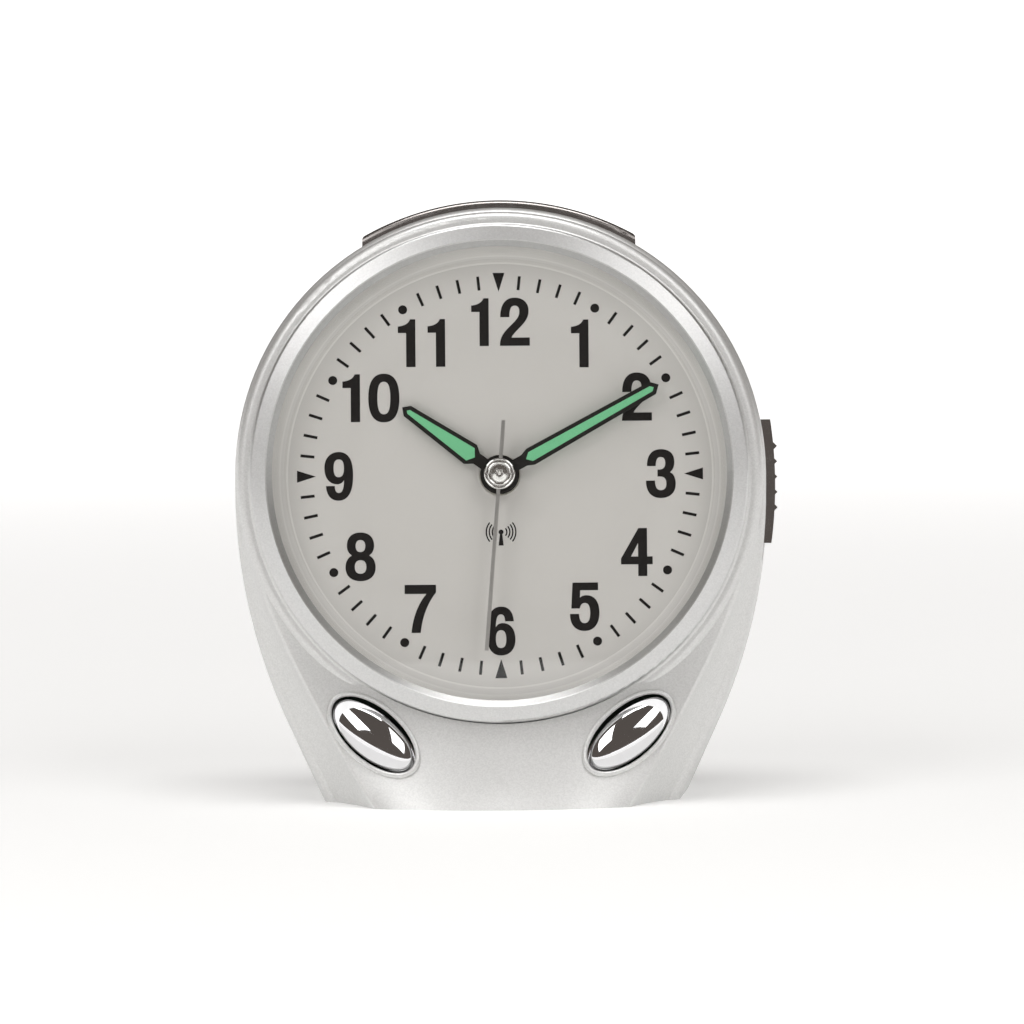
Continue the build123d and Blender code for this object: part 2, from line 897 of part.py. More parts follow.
    plate_box = (-room + plate_play, room - plate_play)
    plate = block(plate_box, (movement_split, plate_back), plate_box)
    plate = plate - rod(0, 0, second_arbor_radius + pipe_play, movement_split, plate_back)
    for at in (minute_at, minute_rotor_at, second_at, second_rotor_at):
        plate = plate - rod(at[0], at[1], pivot_radius + pipe_play, movement_split, plate_back)
    keep("movement_plate", plate)

    screws = []
    for x, z in ear_points():
        screws.append(small_screw(x, z, seat + ear_thickness, ear_thickness + ear_screw_grip))
    keep("movement_screws", Compound(screws))


def magnet(at, level):
    """A rotor's round magnet, around its arbor and level with its stator."""
    half = magnet_disc / 2
    return tube(at[0], at[1], magnet_disc_radius, pivot_radius, level - half, level + half)


def motor(rotor_at, side, level):
    """A stator plate round a rotor, joined by two arms to the core that carries the coil."""
    x, z = rotor_at
    layer = (level - stator_thickness / 2, level + stator_thickness / 2)
    inner_x = x - side * stator_web
    outer_x = x + side * stator_reach
    core_x = x + side * core_offset
    core_edge = core_x + side * core_width / 2
    span = (z - stator_half, z + stator_half)
    plate = block(sorted((inner_x, outer_x)), layer, span)
    plate = plate - rod(x, z, magnet_disc_radius + rotor_gap, *layer)
    core = block(sorted((core_x - side * core_width / 2, core_edge)), layer, span)
    arms = [
        block(sorted((outer_x, core_edge)), layer, sorted((end - math.copysign(core_width, end - z), end)))
        for end in span
    ]
    stator = plate + core + arms[0] + arms[1]
    winding = block(
        (core_x - coil_width / 2, core_x + coil_width / 2),
        (level - coil_thickness / 2, level + coil_thickness / 2),
        (z - stator_half + core_width, z + stator_half - core_width),
    )
    return stator, winding - core


def screw(x, z, radius, head_radius, head_height, seat, length):
    """A screw driven from behind: its head stands on the seat, its shank reaches forward."""
    shank = rod(x, z, radius, seat - length, seat)
    cap = rod(x, z, head_radius, seat, seat + head_height)
    half = head_radius * driver_reach
    cross = block(
        (x - half, x + half),
        (seat + head_height / 2, seat + head_height),
        (z - driver_slot / 2, z + driver_slot / 2),
    )
    return shank + cap - cross - Pos(x, 0, z) * Rot(0, 90, 0) * Pos(-x, 0, -z) * cross


def small_screw(x, z, seat, length):
    return screw(x, z, small_screw_radius, small_head_radius, small_head_height, seat, length)


def push_switch(x, z, side):
    """A switch on the board, facing the front (side -1) or the back (side 1), and its plunger."""
    seat = board_front if side < 0 else board_front + board_thickness
    top = seat + side * switch_height
    half = switch_side / 2
    body = block((x - half, x + half), sorted((seat, top)), (z - half, z + half))
    body = body - rod(x, z, plunger_radius + plunger_bore_play, *sorted((seat + side * switch_floor, top)))
    tip = top + side * plunger_reach
    plunger = rod(x, z, plunger_radius, *sorted((tip - side * plunger_length, tip)))
    return body, plunger, tip


def oval_button(tip):
    """The right-hand button: a tilted dome, a skirt through the apron, a hidden flange and a stem."""
    tilted = Rot(-button_pitch, 0, button_yaw)
    middle = button_z - button_sag
    lay = Pos(button_x, button_y, middle) * tilted * Rot(90, 0, 0) * Rot(0, 0, button_turn)
    dome = lay * scale(Sphere(1), by=(button_long, button_short, button_dome))
    flange_front = button_y + wall + flange_play
    skirt = prism(button_oval(-skirt_inset), button_y, flange_front + flange_thickness, button_x, middle)
    flange = extrude(
        Ellipse(button_long + button_gap + flange_reach, button_short - skirt_inset), amount=flange_thickness
    )
    flange_lay = Pos(button_x, flange_front, middle) * tilted * Rot(90, 0, 0) * Rot(0, 0, button_turn)
    flange = flange_lay * Pos(0, 0, -flange_thickness) * flange
    stem = rod(button_x, button_z, stem_radius, button_y, tip)
    return dome + skirt + flange + stem


def arc_band(outer, inner, half, front, back):
    """A piece of ring about the dial's axis, above the dial, cut square at its two ends."""
    ring = tube(0, 0, outer, inner, front, back)
    return ring & block((-half, half), (front, back), (0, far))


def talk_bar(tip, post_y):
    """The curved bar on top, its hidden retaining lip, and the post that presses its switch."""
    inner = bar_radius - bar_depth
    bar = arc_band(bar_radius, inner, bar_half, bar_front, bar_back)
    top = bar.faces().sort_by(Axis.Z)[-1]
    bar = fillet(top.edges(), bar_round)
    lip = arc_band(
        inner + bar_lip_thickness, inner, bar_half + bar_lip, bar_front - bar_lip, bar_back + bar_lip
    )
    post = upright(0, post_y, bar_post_radius, tip, inner + bar_lip_thickness)
    return bar + lip + post


def bar_switch():
    """The switch under the bar, on the board's face and pressed from above."""
    y = board_front - switch_side / 2
    half = switch_side / 2
    top = bar_switch_top
    body = block((-half, half), (y - half, board_front), (top - switch_height, top))
    body = body - upright(0, y, plunger_radius + plunger_bore_play, top - switch_height + switch_floor, top)
    tip = top + plunger_reach
    return body, upright(0, y, plunger_radius, tip - plunger_length, tip), tip, y


def side_slider():
    """The ribbed bar on the right flank, with the neck that goes through the case to its switch."""
    neck_y, neck_z = slider_neck_centre()
    half = (slider_top - slider_bottom) / 2
    inner = slider_floor + slider_play
    edge = slider_crown - slider_crown_radius + math.sqrt(slider_crown_radius**2 - half**2)
    face = make_face(
        [
            Line((edge, slider_bottom), (inner, slider_bottom)),
            Line((inner, slider_bottom), (inner, slider_top)),
            Line((inner, slider_top), (edge, slider_top)),
            ThreePointArc((edge, slider_top), (slider_crown, neck_z), (edge, slider_bottom)),
        ]
    )
    bar = prism(face, slider_front, slider_back)
    for number in range(rib_count):
        z = neck_z + rib_shift + (number - (rib_count - 1) / 2) * rib_pitch
        ridge = Polyline(
            (edge, z - rib_width / 2), (slider_crown + rib_height, z), (edge, z + rib_width / 2), close=True
        )
        bar = bar + prism(make_face(ridge), slider_front, slider_back)
    neck = block(
        (neck_end, inner),
        (neck_y - slider_neck / 2, neck_y + slider_neck / 2),
        (neck_z - slider_neck_height / 2, neck_z + slider_neck_height / 2),
    )
    return bar + neck


def flank_switch():
    """The switch that the flank's slider works, on the board's face, with a channel for the neck."""
    neck_y, neck_z = slider_neck_centre()
    reach = slider_neck_height / 2 + slider_travel + flank_switch_wall
    body = block(
        (neck_end - flank_switch_back, neck_end + flank_switch_grip),
        (neck_y - slider_neck / 2 - flank_switch_wall, board_front),
        (neck_z - reach, neck_z + reach),
    )
    return body - neck_way(neck_end - slider_play, far)


def main_board():
    lower = Pos(0, board_low / 2) * Rectangle(2 * board_half, -board_low)
    face = Circle(board_radius) + lower
    for x, z in (board_post_upper, board_post_lower):
        lug = Circle(board_post_radius)
        face = face + Pos(x, z) * lug + Pos(-x, z) * lug
    for x, z in (case_boss_upper, case_boss_lower):
        notch = Circle(case_boss_radius + board_play)
        face = face - Pos(x, z) * notch - Pos(-x, z) * notch
    for x, z in (board_post_upper, board_post_lower):
        hole = Circle(small_screw_radius + screw_play)
        face = face - Pos(x, z) * hole - Pos(-x, z) * hole
    return prism(face, board_front, board_front + board_thickness)


def chip(at, size):
    back = board_front + board_thickness
    return prism(Rectangle(*size), back, back + chip_height, *at)


def board_pieces():
    back = board_front + board_thickness
    keep("main_board", main_board())
    keep("voice_chip", chip(voice_chip_at, voice_chip_size))
    keep("radio_chip", chip(radio_chip_at, radio_chip_size))
    cans = [rod(x, z, can_radius, back, back + can_height) for x, z in can_places]
    keep("capacitors", Compound(cans))
    screws = []
    for x, z in (board_post_upper, board_post_lower):
        for side in (-1, 1):
            screws.append(small_screw(side * x, z, back, small_screw_length))
    keep("board_screws", Compound(screws))


def bay_limits():
    """Room for the two cells: depth of its front wall, then its bottom and top."""
    return cell_y - cell_radius - bay_play, 2 * cell_z - bay_top, bay_top


def door_limits():
    low, high = bay_limits()[1:]
    return bay_half + bay_wall, low - bay_wall, high + bay_wall


def rear_shell():
    outer = shell_blank(seam_step, seam, body_back, back_draft, back_round)
    inner_back = body_back - wall
    hollow = shell_blank(seam_step + wall, seam, inner_back, back_draft, back_round - wall)
    shell = outer - (hollow - ground(floor))
    pillar_radius = case_head_radius + head_play + pillar_wall
    pillar_places = (case_boss_upper, case_boss_lower)
    pillars = fused([rod(x, z, pillar_radius, seam, body_back) for x, z in pillar_places])
    shell = shell + (both_sides(pillars) & outer)

    bay_front, low, high = bay_limits()
    bay = block(
        (-bay_half - bay_wall, bay_half + bay_wall),
        (bay_front - bay_wall, inner_back),
        (low - bay_wall, high + bay_wall),
    )
    shell = shell + bay - block((-bay_half, bay_half), (bay_front, body_back), (low, high))
    for z in (cell_z - cell_spacing / 2, cell_z + cell_spacing / 2):
        shell = shell - contact_tail(z, tail_play)
    door_half, door_low, door_high = door_limits()
    shell = shell - block((-door_half, door_half), (body_back - door_thickness, far), (door_low, door_high))

    for x, z in ring_points():
        shell = shell + rod(x, z, ring_boss_radius, inner_back - speaker_rim, inner_back)
        pilot = small_screw_radius + screw_play
        shell = shell - rod(x, z, pilot, inner_back - speaker_rim, inner_back + ring_grip)

    for x, z in (case_boss_upper, case_boss_lower):
        way = rod(x, z, case_screw_radius + head_play, seam, body_back)
        way = way + rod(x, z, case_head_radius + head_play, case_screw_seat, far)
        shell = shell - both_sides(way)
    for row in range(grille_rows):
        lift = (row - (grille_rows - 1) / 2) * grille_pitch
        length = 2 * math.sqrt(grille_radius**2 - lift**2)
        shell = shell - prism(SlotOverall(length, grille_slot), inner_back, far, 0, speaker_z + lift)
    for x in key_x:
        shell = shell - rod(x, key_z, key_radius + key_gap, inner_back, far)
    zone_end = zone_x + zone_half_width + zone_steps * zone_pitch
    shell = shell - block(
        (zone_x - zone_half_width - zone_play, zone_end + zone_play),
        (inner_back, far),
        (key_z - zone_half_height - zone_play, key_z + zone_half_height + zone_play),
    )
    return shell - ground(0)


def ring_points():
    """Screw places of the loudspeaker's retaining ring."""
    radius = speaker_radius + ring_overhang
    places = []
    for number in range(ring_screws):
        angle = -math.pi / 2 + 2 * math.pi * number / ring_screws
        places.append(polar((0, speaker_z), radius, angle))
    return places


def speaker_pieces():
    inner_back = body_back - wall
    rim_front = inner_back - speaker_rim
    cup_front = inner_back - speaker_depth
    throat = magnet_radius + speaker_wall

    def placed(points):
        return Pos(0, 0, speaker_z) * turned(points)

    frame = placed(
        [
            (speaker_radius, inner_back),
            (speaker_radius, rim_front),
            (speaker_radius - speaker_rim, rim_front),
            (throat, cup_front),
            (0, cup_front),
            (0, cup_front + speaker_wall),
            (throat - speaker_wall, cup_front + speaker_wall),
            (speaker_radius - speaker_rim - speaker_wall, rim_front + speaker_wall),
            (speaker_radius - speaker_rim - speaker_wall, inner_back),
        ]
    )
    keep("speaker_frame", frame)
    keep("speaker_magnet", rod(0, speaker_z, magnet_radius, cup_front - magnet_depth, cup_front))
    cone_edge = speaker_radius - speaker_rim - speaker_wall
    cone_deep = cup_front + speaker_wall + coil_former
    keep(
        "speaker_cone",
        placed(
            [
                (cone_edge, inner_back - cone_rest),
                (cone_edge, inner_back - cone_rest - cone_thickness),
                (cone_throat, cone_deep),
                (cone_throat, cup_front + speaker_wall),
                (cone_throat - cone_thickness, cup_front + speaker_wall),
                (cone_throat - cone_thickness, cone_deep + cone_thickness),
                (0, cone_deep + cone_thickness),
                (0, cone_deep + 2 * cone_thickness),
                (cone_throat, cone_deep + 2 * cone_thickness),
            ]
        ),
    )
    ring_front = rim_front - ring_thickness
    ring = rod(0, speaker_z, speaker_radius + ring_margin, ring_front, rim_front)
    for x, z in ring_points():
        ring = ring + rod(x, z, ring_ear_radius, ring_front, rim_front)
    ring = ring - rod(0, speaker_z, speaker_radius - speaker_rim, ring_front, rim_front)
    for x, z in ring_points():
        ring = ring - rod(x, z, small_screw_radius + screw_play, ring_front, rim_front)
    keep("speaker_ring", ring)
    screws = []
    for x, z in ring_points():
        turned_screw = Rot(180, 0, 0) * small_screw(0, 0, 0, ring_thickness + speaker_rim + ring_grip)
        screws.append(Pos(x, ring_front, z) * turned_screw)
    keep("speaker_screws", Compound(screws))


def across(y, z, radius, start, end):
    """A round bar lying left to right."""
    return Pos((start + end) / 2, y, z) * Rot(0, 90, 0) * Cylinder(radius, end - start)


def antenna_pieces():
    keep("antenna_rod", across(rod_y, rod_z, rod_radius, -rod_half, rod_half))
    winding = across(rod_y, rod_z, coil_radius, -coil_half, coil_half)
    keep("antenna_coil", winding - across(rod_y, rod_z, rod_radius, -coil_half, coil_half))
    clips = []
    for side in (-1, 1):
        x = side * clip_x
        reach = rod_radius + clip_wall
        clip = block(
            (x - clip_width / 2, x + clip_width / 2),
            (rod_y - reach, body_back - wall),
            (rod_z - reach, rod_z + reach),
        )
        clips.append(clip - across(rod_y, rod_z, rod_radius, x - clip_width, x + clip_width))
    keep("antenna_clips", Compound(clips))


def lead_pieces():
    """Pairs of leads from the board to the loudspeaker's frame and to the antenna's coil."""
    back = board_front + board_thickness
    rim_front = body_back - wall - speaker_rim
    cup_front = body_back - wall - speaker_depth
    throat = magnet_radius + speaker_wall
    slope = (rim_front - cup_front) / (speaker_radius - speaker_rim - throat)
    frame_depth = cup_front + (speaker_lead_x - lead_radius - throat) * slope
    leads = []
    for side in (-1, 1):
        offset = side * lead_spacing / 2
        leads.append(rod(speaker_lead_x, speaker_z + offset, lead_radius, back, frame_depth))
        leads.append(rod(offset, rod_z, lead_radius, back, rod_y - coil_radius))
    return Compound(leads)


def cell(z, side):
    """A dry cell lying left to right, with its nub on the given side."""
    body = across(cell_y, z, cell_radius, -cell_half, cell_half)
    nub = across(cell_y, z, cell_nub_radius, *sorted((side * cell_half, side * (cell_half + cell_nub))))
    return body + nub


def leaf(z, side, tip):
    """A bent strip that springs from the end wall of the bay to a cell's end."""
    root = side * (bay_half - contact_thickness)
    touch = side * tip
    low = cell_y - contact_half_width
    strip = make_face(
        Polyline(
            (root, low),
            (touch, cell_y),
            (touch, cell_y + leaf_flat),
            (touch + side * contact_thickness, cell_y + leaf_flat),
            (touch + side * contact_thickness, cell_y + contact_thickness / 2),
            (root, low + 2 * contact_thickness),
            close=True,
        )
    )
    return extrude(Plane.XY.offset(z - leaf_half) * strip, amount=2 * leaf_half)


def contact_plate(side, low, high):
    xs = sorted((side * (bay_half - contact_thickness), side * bay_half))
    return block(xs, (cell_y - contact_half_width, cell_y + contact_half_width), (low, high))


def contact_tail(z, play=0):
    """A contact's strip through the bay's front wall to the board, or its slot when given play."""
    return block(
        (bay_half - contact_thickness - play, bay_half),
        (board_front + board_thickness, cell_y - contact_half_width),
        (z - tail_half - play, z + tail_half + play),
    )


def cell_pieces():
    upper = cell_z + cell_spacing / 2
    lower = cell_z - cell_spacing / 2
    nub_end = cell_half + cell_nub
    keep("battery_cells", Compound([cell(upper, 1), cell(lower, -1)]))
    reach = contact_half_width
    positive = contact_plate(1, upper - reach, upper + reach) + leaf(upper, 1, nub_end)
    negative = contact_plate(1, lower - reach, lower + reach) + leaf(lower, 1, cell_half)
    keep("positive_contact", positive + contact_tail(upper))
    keep("negative_contact", negative + contact_tail(lower))
    bridge = contact_plate(-1, lower - reach, upper + reach)
    keep("bridge_contact", bridge + leaf(upper, -1, cell_half) + leaf(lower, -1, nub_end))


def battery_door():
    half, low, high = door_limits()
    plate = block(
        (-half + door_play, half - door_play),
        (body_back - door_thickness + door_seat_play, body_back),
        (low + door_play, high - door_play),
    )
    grip = block(
        (-door_grip_width / 2, door_grip_width / 2),
        (body_back - door_grip_depth, body_back),
        (high - door_play - door_grip_height - door_grip_margin, high - door_play - door_grip_margin),
    )
    return plate - grip


def back_key(x, tip):
    flange_back = body_back - wall - key_gap
    cap = rod(x, key_z, key_radius, flange_back, body_back + key_proud)
    flange = rod(x, key_z, key_flange_radius, flange_back - flange_thickness, flange_back)
    stem = rod(x, key_z, key_stem_radius, tip, flange_back)
    return cap + flange + stem


def zone_slider():
    inner_back = body_back - wall
    flange_back = inner_back - zone_play
    travel = zone_steps * zone_pitch
    knob = block(
        (zone_x - zone_half_width, zone_x + zone_half_width),
        (flange_back, body_back + key_proud),
        (key_z - zone_half_height, key_z + zone_half_height),
    )
    flange = block(
        (zone_x - zone_half_width - zone_flange, zone_x + zone_half_width + zone_flange),
        (flange_back - flange_thickness, flange_back),
        (key_z - zone_half_height - zone_flange, key_z + zone_half_height + zone_flange),
    )
    board_back = board_front + board_thickness
    stem = block(
        (zone_x - zone_stem / 2, zone_x + zone_stem / 2),
        (board_back + switch_floor + zone_play, flange_back),
        (key_z - zone_stem / 2, key_z + zone_stem / 2),
    )
    keep("zone_slider", knob + flange + stem)
    half_height = zone_stem / 2 + zone_switch_wall
    body = block(
        (zone_x - zone_stem / 2 - zone_switch_wall, zone_x + zone_stem / 2 + travel + zone_switch_wall),
        (board_back, board_back + switch_height),
        (key_z - half_height, key_z + half_height),
    )
    channel = block(
        (zone_x - zone_stem / 2 - zone_play, zone_x + zone_stem / 2 + travel + zone_play),
        (board_back + switch_floor, board_back + switch_height),
        (key_z - zone_stem / 2 - zone_play, key_z + zone_stem / 2 + zone_play),
    )
    keep("zone_switch", body - channel)


# The pieces
keep("front_case", front_shell())
keep("rear_case", rear_shell())
keep("bezel_ring", bezel())
keep("lens", lens())
keep("dial", dial())

hour_frame, hour_lume = lume_hand(
    hour_angle, hour_lift, hub_radius + hub_step, hour_pipe_radius + press_play,
    hour_widest, hour_tip, hour_reach,
)
minute_frame, minute_lume = lume_hand(
    minute_angle, minute_lift, hub_radius, minute_pipe_radius + press_play,
    minute_widest, minute_tip, minute_reach,
)
second_blade, second_cap = second_hand()
keep("hour_hand", hour_frame)
keep("hour_lume", hour_lume)
keep("minute_hand", minute_frame)
keep("minute_lume", minute_lume)
keep("second_hand", second_blade)
keep("second_cap", second_cap)
movement_parts()

board_pieces()
front_switch, front_plunger, front_tip = push_switch(button_x, button_z, -1)
right_button = oval_button(front_tip)
keep("right_button", right_button)
keep("left_button", mirror(right_button, about=Plane.YZ))
keep("right_plunger", front_plunger)
keep("left_plunger", mirror(front_plunger, about=Plane.YZ))
top_switch, top_plunger, top_tip, post_y = bar_switch()
keep("talk_bar", talk_bar(top_tip, post_y))
keep("talk_plunger", top_plunger)
keep("side_slider", side_slider())
keep("slide_switch", flank_switch())

switches = [front_switch, mirror(front_switch, about=Plane.YZ), top_switch]
for x, side in zip(key_x, ("outer", "inner")):
    body, plunger, tip = push_switch(x, key_z, 1)
    switches.append(body)
    keep(f"{side}_key", back_key(x, tip))
    keep(f"{side}_key_plunger", plunger)
keep("push_switches", Compound(switches))
zone_slider()

speaker_pieces()
antenna_pieces()
keep("lead_wires", lead_pieces())
cell_pieces()
keep("battery_door", battery_door())
case_screws = []
for x, z in (case_boss_upper, case_boss_lower):
    for side in (-1, 1):
        case_screws.append(
            screw(side * x, z, case_screw_radius, case_head_radius, case_head_height,
                  case_screw_seat, case_screw_length)
        )
keep("case_screws", Compound(case_screws))

os.makedirs("parts", exist_ok=True)
for name, shape in pieces.items():
    export_step(shape, f"parts/{name}.step")
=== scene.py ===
"""Looks of a talking table clock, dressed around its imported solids. Lengths are metres."""

import json
import math
import re

import bmesh
import bpy
from mathutils import Matrix, Vector
from mathutils.bvhtree import BVHTree

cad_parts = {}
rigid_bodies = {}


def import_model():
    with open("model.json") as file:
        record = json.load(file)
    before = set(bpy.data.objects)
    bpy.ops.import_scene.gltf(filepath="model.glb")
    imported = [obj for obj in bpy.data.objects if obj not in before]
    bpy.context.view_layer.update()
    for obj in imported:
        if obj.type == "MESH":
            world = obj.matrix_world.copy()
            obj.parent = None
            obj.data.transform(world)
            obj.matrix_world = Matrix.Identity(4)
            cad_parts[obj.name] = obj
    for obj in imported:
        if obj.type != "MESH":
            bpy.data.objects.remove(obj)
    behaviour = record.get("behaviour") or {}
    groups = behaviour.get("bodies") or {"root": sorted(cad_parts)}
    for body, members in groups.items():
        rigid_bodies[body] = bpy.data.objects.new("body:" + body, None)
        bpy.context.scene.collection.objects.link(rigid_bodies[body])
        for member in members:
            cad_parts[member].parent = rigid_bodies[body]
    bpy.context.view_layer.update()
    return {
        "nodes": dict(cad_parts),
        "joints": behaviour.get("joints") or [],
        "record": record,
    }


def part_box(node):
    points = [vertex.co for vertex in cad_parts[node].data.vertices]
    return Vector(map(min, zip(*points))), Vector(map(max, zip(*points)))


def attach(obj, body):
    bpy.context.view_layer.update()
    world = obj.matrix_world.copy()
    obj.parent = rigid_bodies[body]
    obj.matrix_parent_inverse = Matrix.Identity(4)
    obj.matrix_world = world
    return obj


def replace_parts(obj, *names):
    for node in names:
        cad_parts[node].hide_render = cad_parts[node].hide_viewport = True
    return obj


for left_over in list(bpy.data.objects):
    bpy.data.objects.remove(left_over)

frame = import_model()
nodes = frame["nodes"]

MM = 0.001
FULL_TURN = 2 * math.pi

# The dial's own frame: x right, y into the clock, z up along the dial
minute_joint = next(joint for joint in frame["joints"] if joint["name"] == "minute_spin")
dial_centre = Vector(minute_joint["pos_m"])
dial_axis = Vector(minute_joint["axis"])
lean = math.atan2(-dial_axis.z, dial_axis.y)
HEAD = Matrix.Translation(dial_centre) @ Matrix.Rotation(-lean, 4, "X")
# Flat artwork is drawn with x right, y up and z towards the viewer
ARTWORK = HEAD @ Matrix.Rotation(math.radians(90), 4, "X")

# Sockets of a Mix node that mixes colours
MIX_FACTOR = 0
MIX_LOW = 6
MIX_HIGH = 7
MIX_COLOUR = 2


class Wire:
    """A shader socket that takes part in arithmetic; each step adds a node."""

    def __init__(self, finish, socket):
        self.finish = finish
        self.socket = socket

    def calculate(self, operation, first, second=0.0):
        node = self.finish.add("ShaderNodeMath", {"operation": operation}, {0: first, 1: second})
        return self.finish.out(node)

    def __add__(self, other):
        return self.calculate("ADD", self, other)

    def __radd__(self, other):
        return self.calculate("ADD", other, self)

    def __sub__(self, other):
        return self.calculate("SUBTRACT", self, other)

    def __rsub__(self, other):
        return self.calculate("SUBTRACT", other, self)

    def __mul__(self, other):
        return self.calculate("MULTIPLY", self, other)

    def __pow__(self, other):
        return self.calculate("POWER", self, other)

    def over(self, edge):
        return self.calculate("GREATER_THAN", self, edge)

    def between(self, low, high):
        return self.over(low) - self.over(high)

    def sine(self):
        return self.calculate("SINE", self)

    def ramp(self, start, end):
        """Rises from 0 at the start to 1 at the end."""
        inputs = {0: self, 1: start, 2: end}
        return self.finish.out(self.finish.add("ShaderNodeMapRange", {"clamp": True}, inputs))


class Finish:
    """A material under construction."""

    def __init__(self, name):
        self.material = bpy.data.materials.new(name)
        self.material.use_nodes = True
        self.tree = self.material.node_tree
        self.tree.nodes.clear()
        self.output = self.add("ShaderNodeOutputMaterial")

    def add(self, kind, settings=None, inputs=None):
        node = self.tree.nodes.new(kind)
        for key, value in (settings or {}).items():
            setattr(node, key, value)
        for key, value in (inputs or {}).items():
            if isinstance(value, Wire):
                self.tree.links.new(value.socket, node.inputs[key])
            else:
                node.inputs[key].default_value = value
        return node

    def out(self, node, name=0):
        return Wire(self, node.outputs[name])

    def place(self, matrix=None):
        """Object coordinates, turned into the given frame when there is one."""
        point = self.out(self.add("ShaderNodeTexCoord"), "Object")
        if matrix is None:
            return point
        back = matrix.inverted()
        settings = {"vector_type": "POINT"}
        inputs = {
            "Vector": point,
            "Location": back.to_translation(),
            "Rotation": back.to_euler(),
        }
        return self.out(self.add("ShaderNodeMapping", settings, inputs))

    def axes(self, where):
        """The x, y and z of a place."""
        parts = self.add("ShaderNodeSeparateXYZ", None, {0: where})
        return [self.out(parts, axis) for axis in "XYZ"]

    def from_axis(self):
        """Distance from the dial's axis."""
        across, _, upward = self.axes(self.place(HEAD))
        return (across * across + upward * upward) ** 0.5

    def noise(self, where, scale, detail=2.0, roughness=0.5):
        inputs = {"Vector": where, "Scale": scale, "Detail": detail, "Roughness": roughness}
        return self.out(self.add("ShaderNodeTexNoise", None, inputs), "Fac")

    def flakes(self, where, scale):
        """A random value for each small cell, as metal flakes give."""
        inputs = {"Vector": where, "Scale": scale}
        cells = self.add("ShaderNodeTexVoronoi", {"feature": "F1"}, inputs)
        return self.out(self.add("ShaderNodeSeparateColor", None, {0: self.out(cells, "Color")}))

    def blend(self, amount, low, high):
        """A colour between two, each a link or a fixed colour."""
        inputs = {MIX_FACTOR: amount, MIX_LOW: low, MIX_HIGH: high}
        return self.out(self.add("ShaderNodeMix", {"data_type": "RGBA"}, inputs), MIX_COLOUR)

    def tint(self, amount, low, high):
        return self.blend(amount, (*low, 1.0), (*high, 1.0))

    def bump(self, height, strength, distance):
        inputs = {"Height": height, "Strength": strength, "Distance": distance}
        return self.out(self.add("ShaderNodeBump", None, inputs))

    def shade(self, **inputs):
        """The finished material; each input has its socket's name in small letters."""
        sockets = {}
        for key, value in inputs.items():
            sockets[key.replace("_", " ").title().replace("Ior", "IOR")] = value
        shader = self.add("ShaderNodeBsdfPrincipled", None, sockets)
        self.tree.links.new(shader.outputs["BSDF"], self.output.inputs["Surface"])
        return self.material


BLACK = (0.0, 0.0, 0.0, 1.0)
# Inside this radius the bezel slopes down to the lens, and painted shade darkens its coat there, in
# place of the dark reflection that the slope catches
BEZEL_SLOPE_RADIUS = 46.2 * MM
SLOPE_PAINTED_SHADE = 0.22


def silver_paint(name, light, dark, metallic, roughness, painted_shade_radius=None):
    """Metallic lacquer on plastic: fine flakes under a thin clear coat, with painted shade inside a
    radius when one is given.
    """
    finish = Finish(name)
    where = finish.place()
    flakes = finish.flakes(where, scale=3800.0)
    cloud = finish.noise(where, scale=60.0, detail=3.0)
    peel = finish.noise(where, scale=700.0)
    tone = finish.tint(flakes * 0.8 + cloud * 0.2, dark, light)
    # Painted shade: inside the given radius the coat is darkened towards black
    if painted_shade_radius is not None:
        painted_slope_shade = 1.0 - finish.from_axis().over(painted_shade_radius)
        tone = finish.blend(painted_slope_shade * SLOPE_PAINTED_SHADE, tone, BLACK)
    return finish.shade(
        base_color=tone,
        metallic=metallic,
        roughness=roughness + cloud * 0.08,
        normal=finish.bump(peel, strength=0.06, distance=0.05 * MM),
        coat_weight=0.12,
        coat_roughness=0.2,
    )


def chrome_plate():
    """Bright plating on plastic, with a faint smear from fingers."""
    finish = Finish("chrome_plate")
    smear = finish.noise(finish.place(), scale=220.0, detail=4.0, roughness=0.6)
    return finish.shade(
        base_color=finish.tint(smear, (0.70, 0.70, 0.71), (0.80, 0.80, 0.81)),
        metallic=1.0,
        roughness=0.03 + (smear ** 3) * 0.14,
    )


def shaded_chrome_plate():
    """Satin plating of the bar that is pressed most, its colour darkened as painted shade for the dark
    reflections that the bar shows.
    """
    finish = Finish("shaded_chrome_plate")
    smear = finish.noise(finish.place(), scale=220.0, detail=4.0, roughness=0.6)
    return finish.shade(
        # Painted shade: a darker copy of the chrome's colour
        base_color=finish.tint(smear, (0.27, 0.25, 0.24), (0.34, 0.32, 0.31)),
        metallic=1.0,
        roughness=0.20 + smear * 0.08,
    )


# The lens's moulded skirt lies outside this radius and behind this depth
SKIRT_RADIUS = 42.0 * MM
SKIRT_FRONT = -6.4 * MM
# Share of mirror gloss square on, at a slant, and what the skirt adds
LENS_GLOSS = 0.024
SLANT_GLOSS = 0.9
SLANT_POWER = 5
SKIRT_GLOSS = 0.03


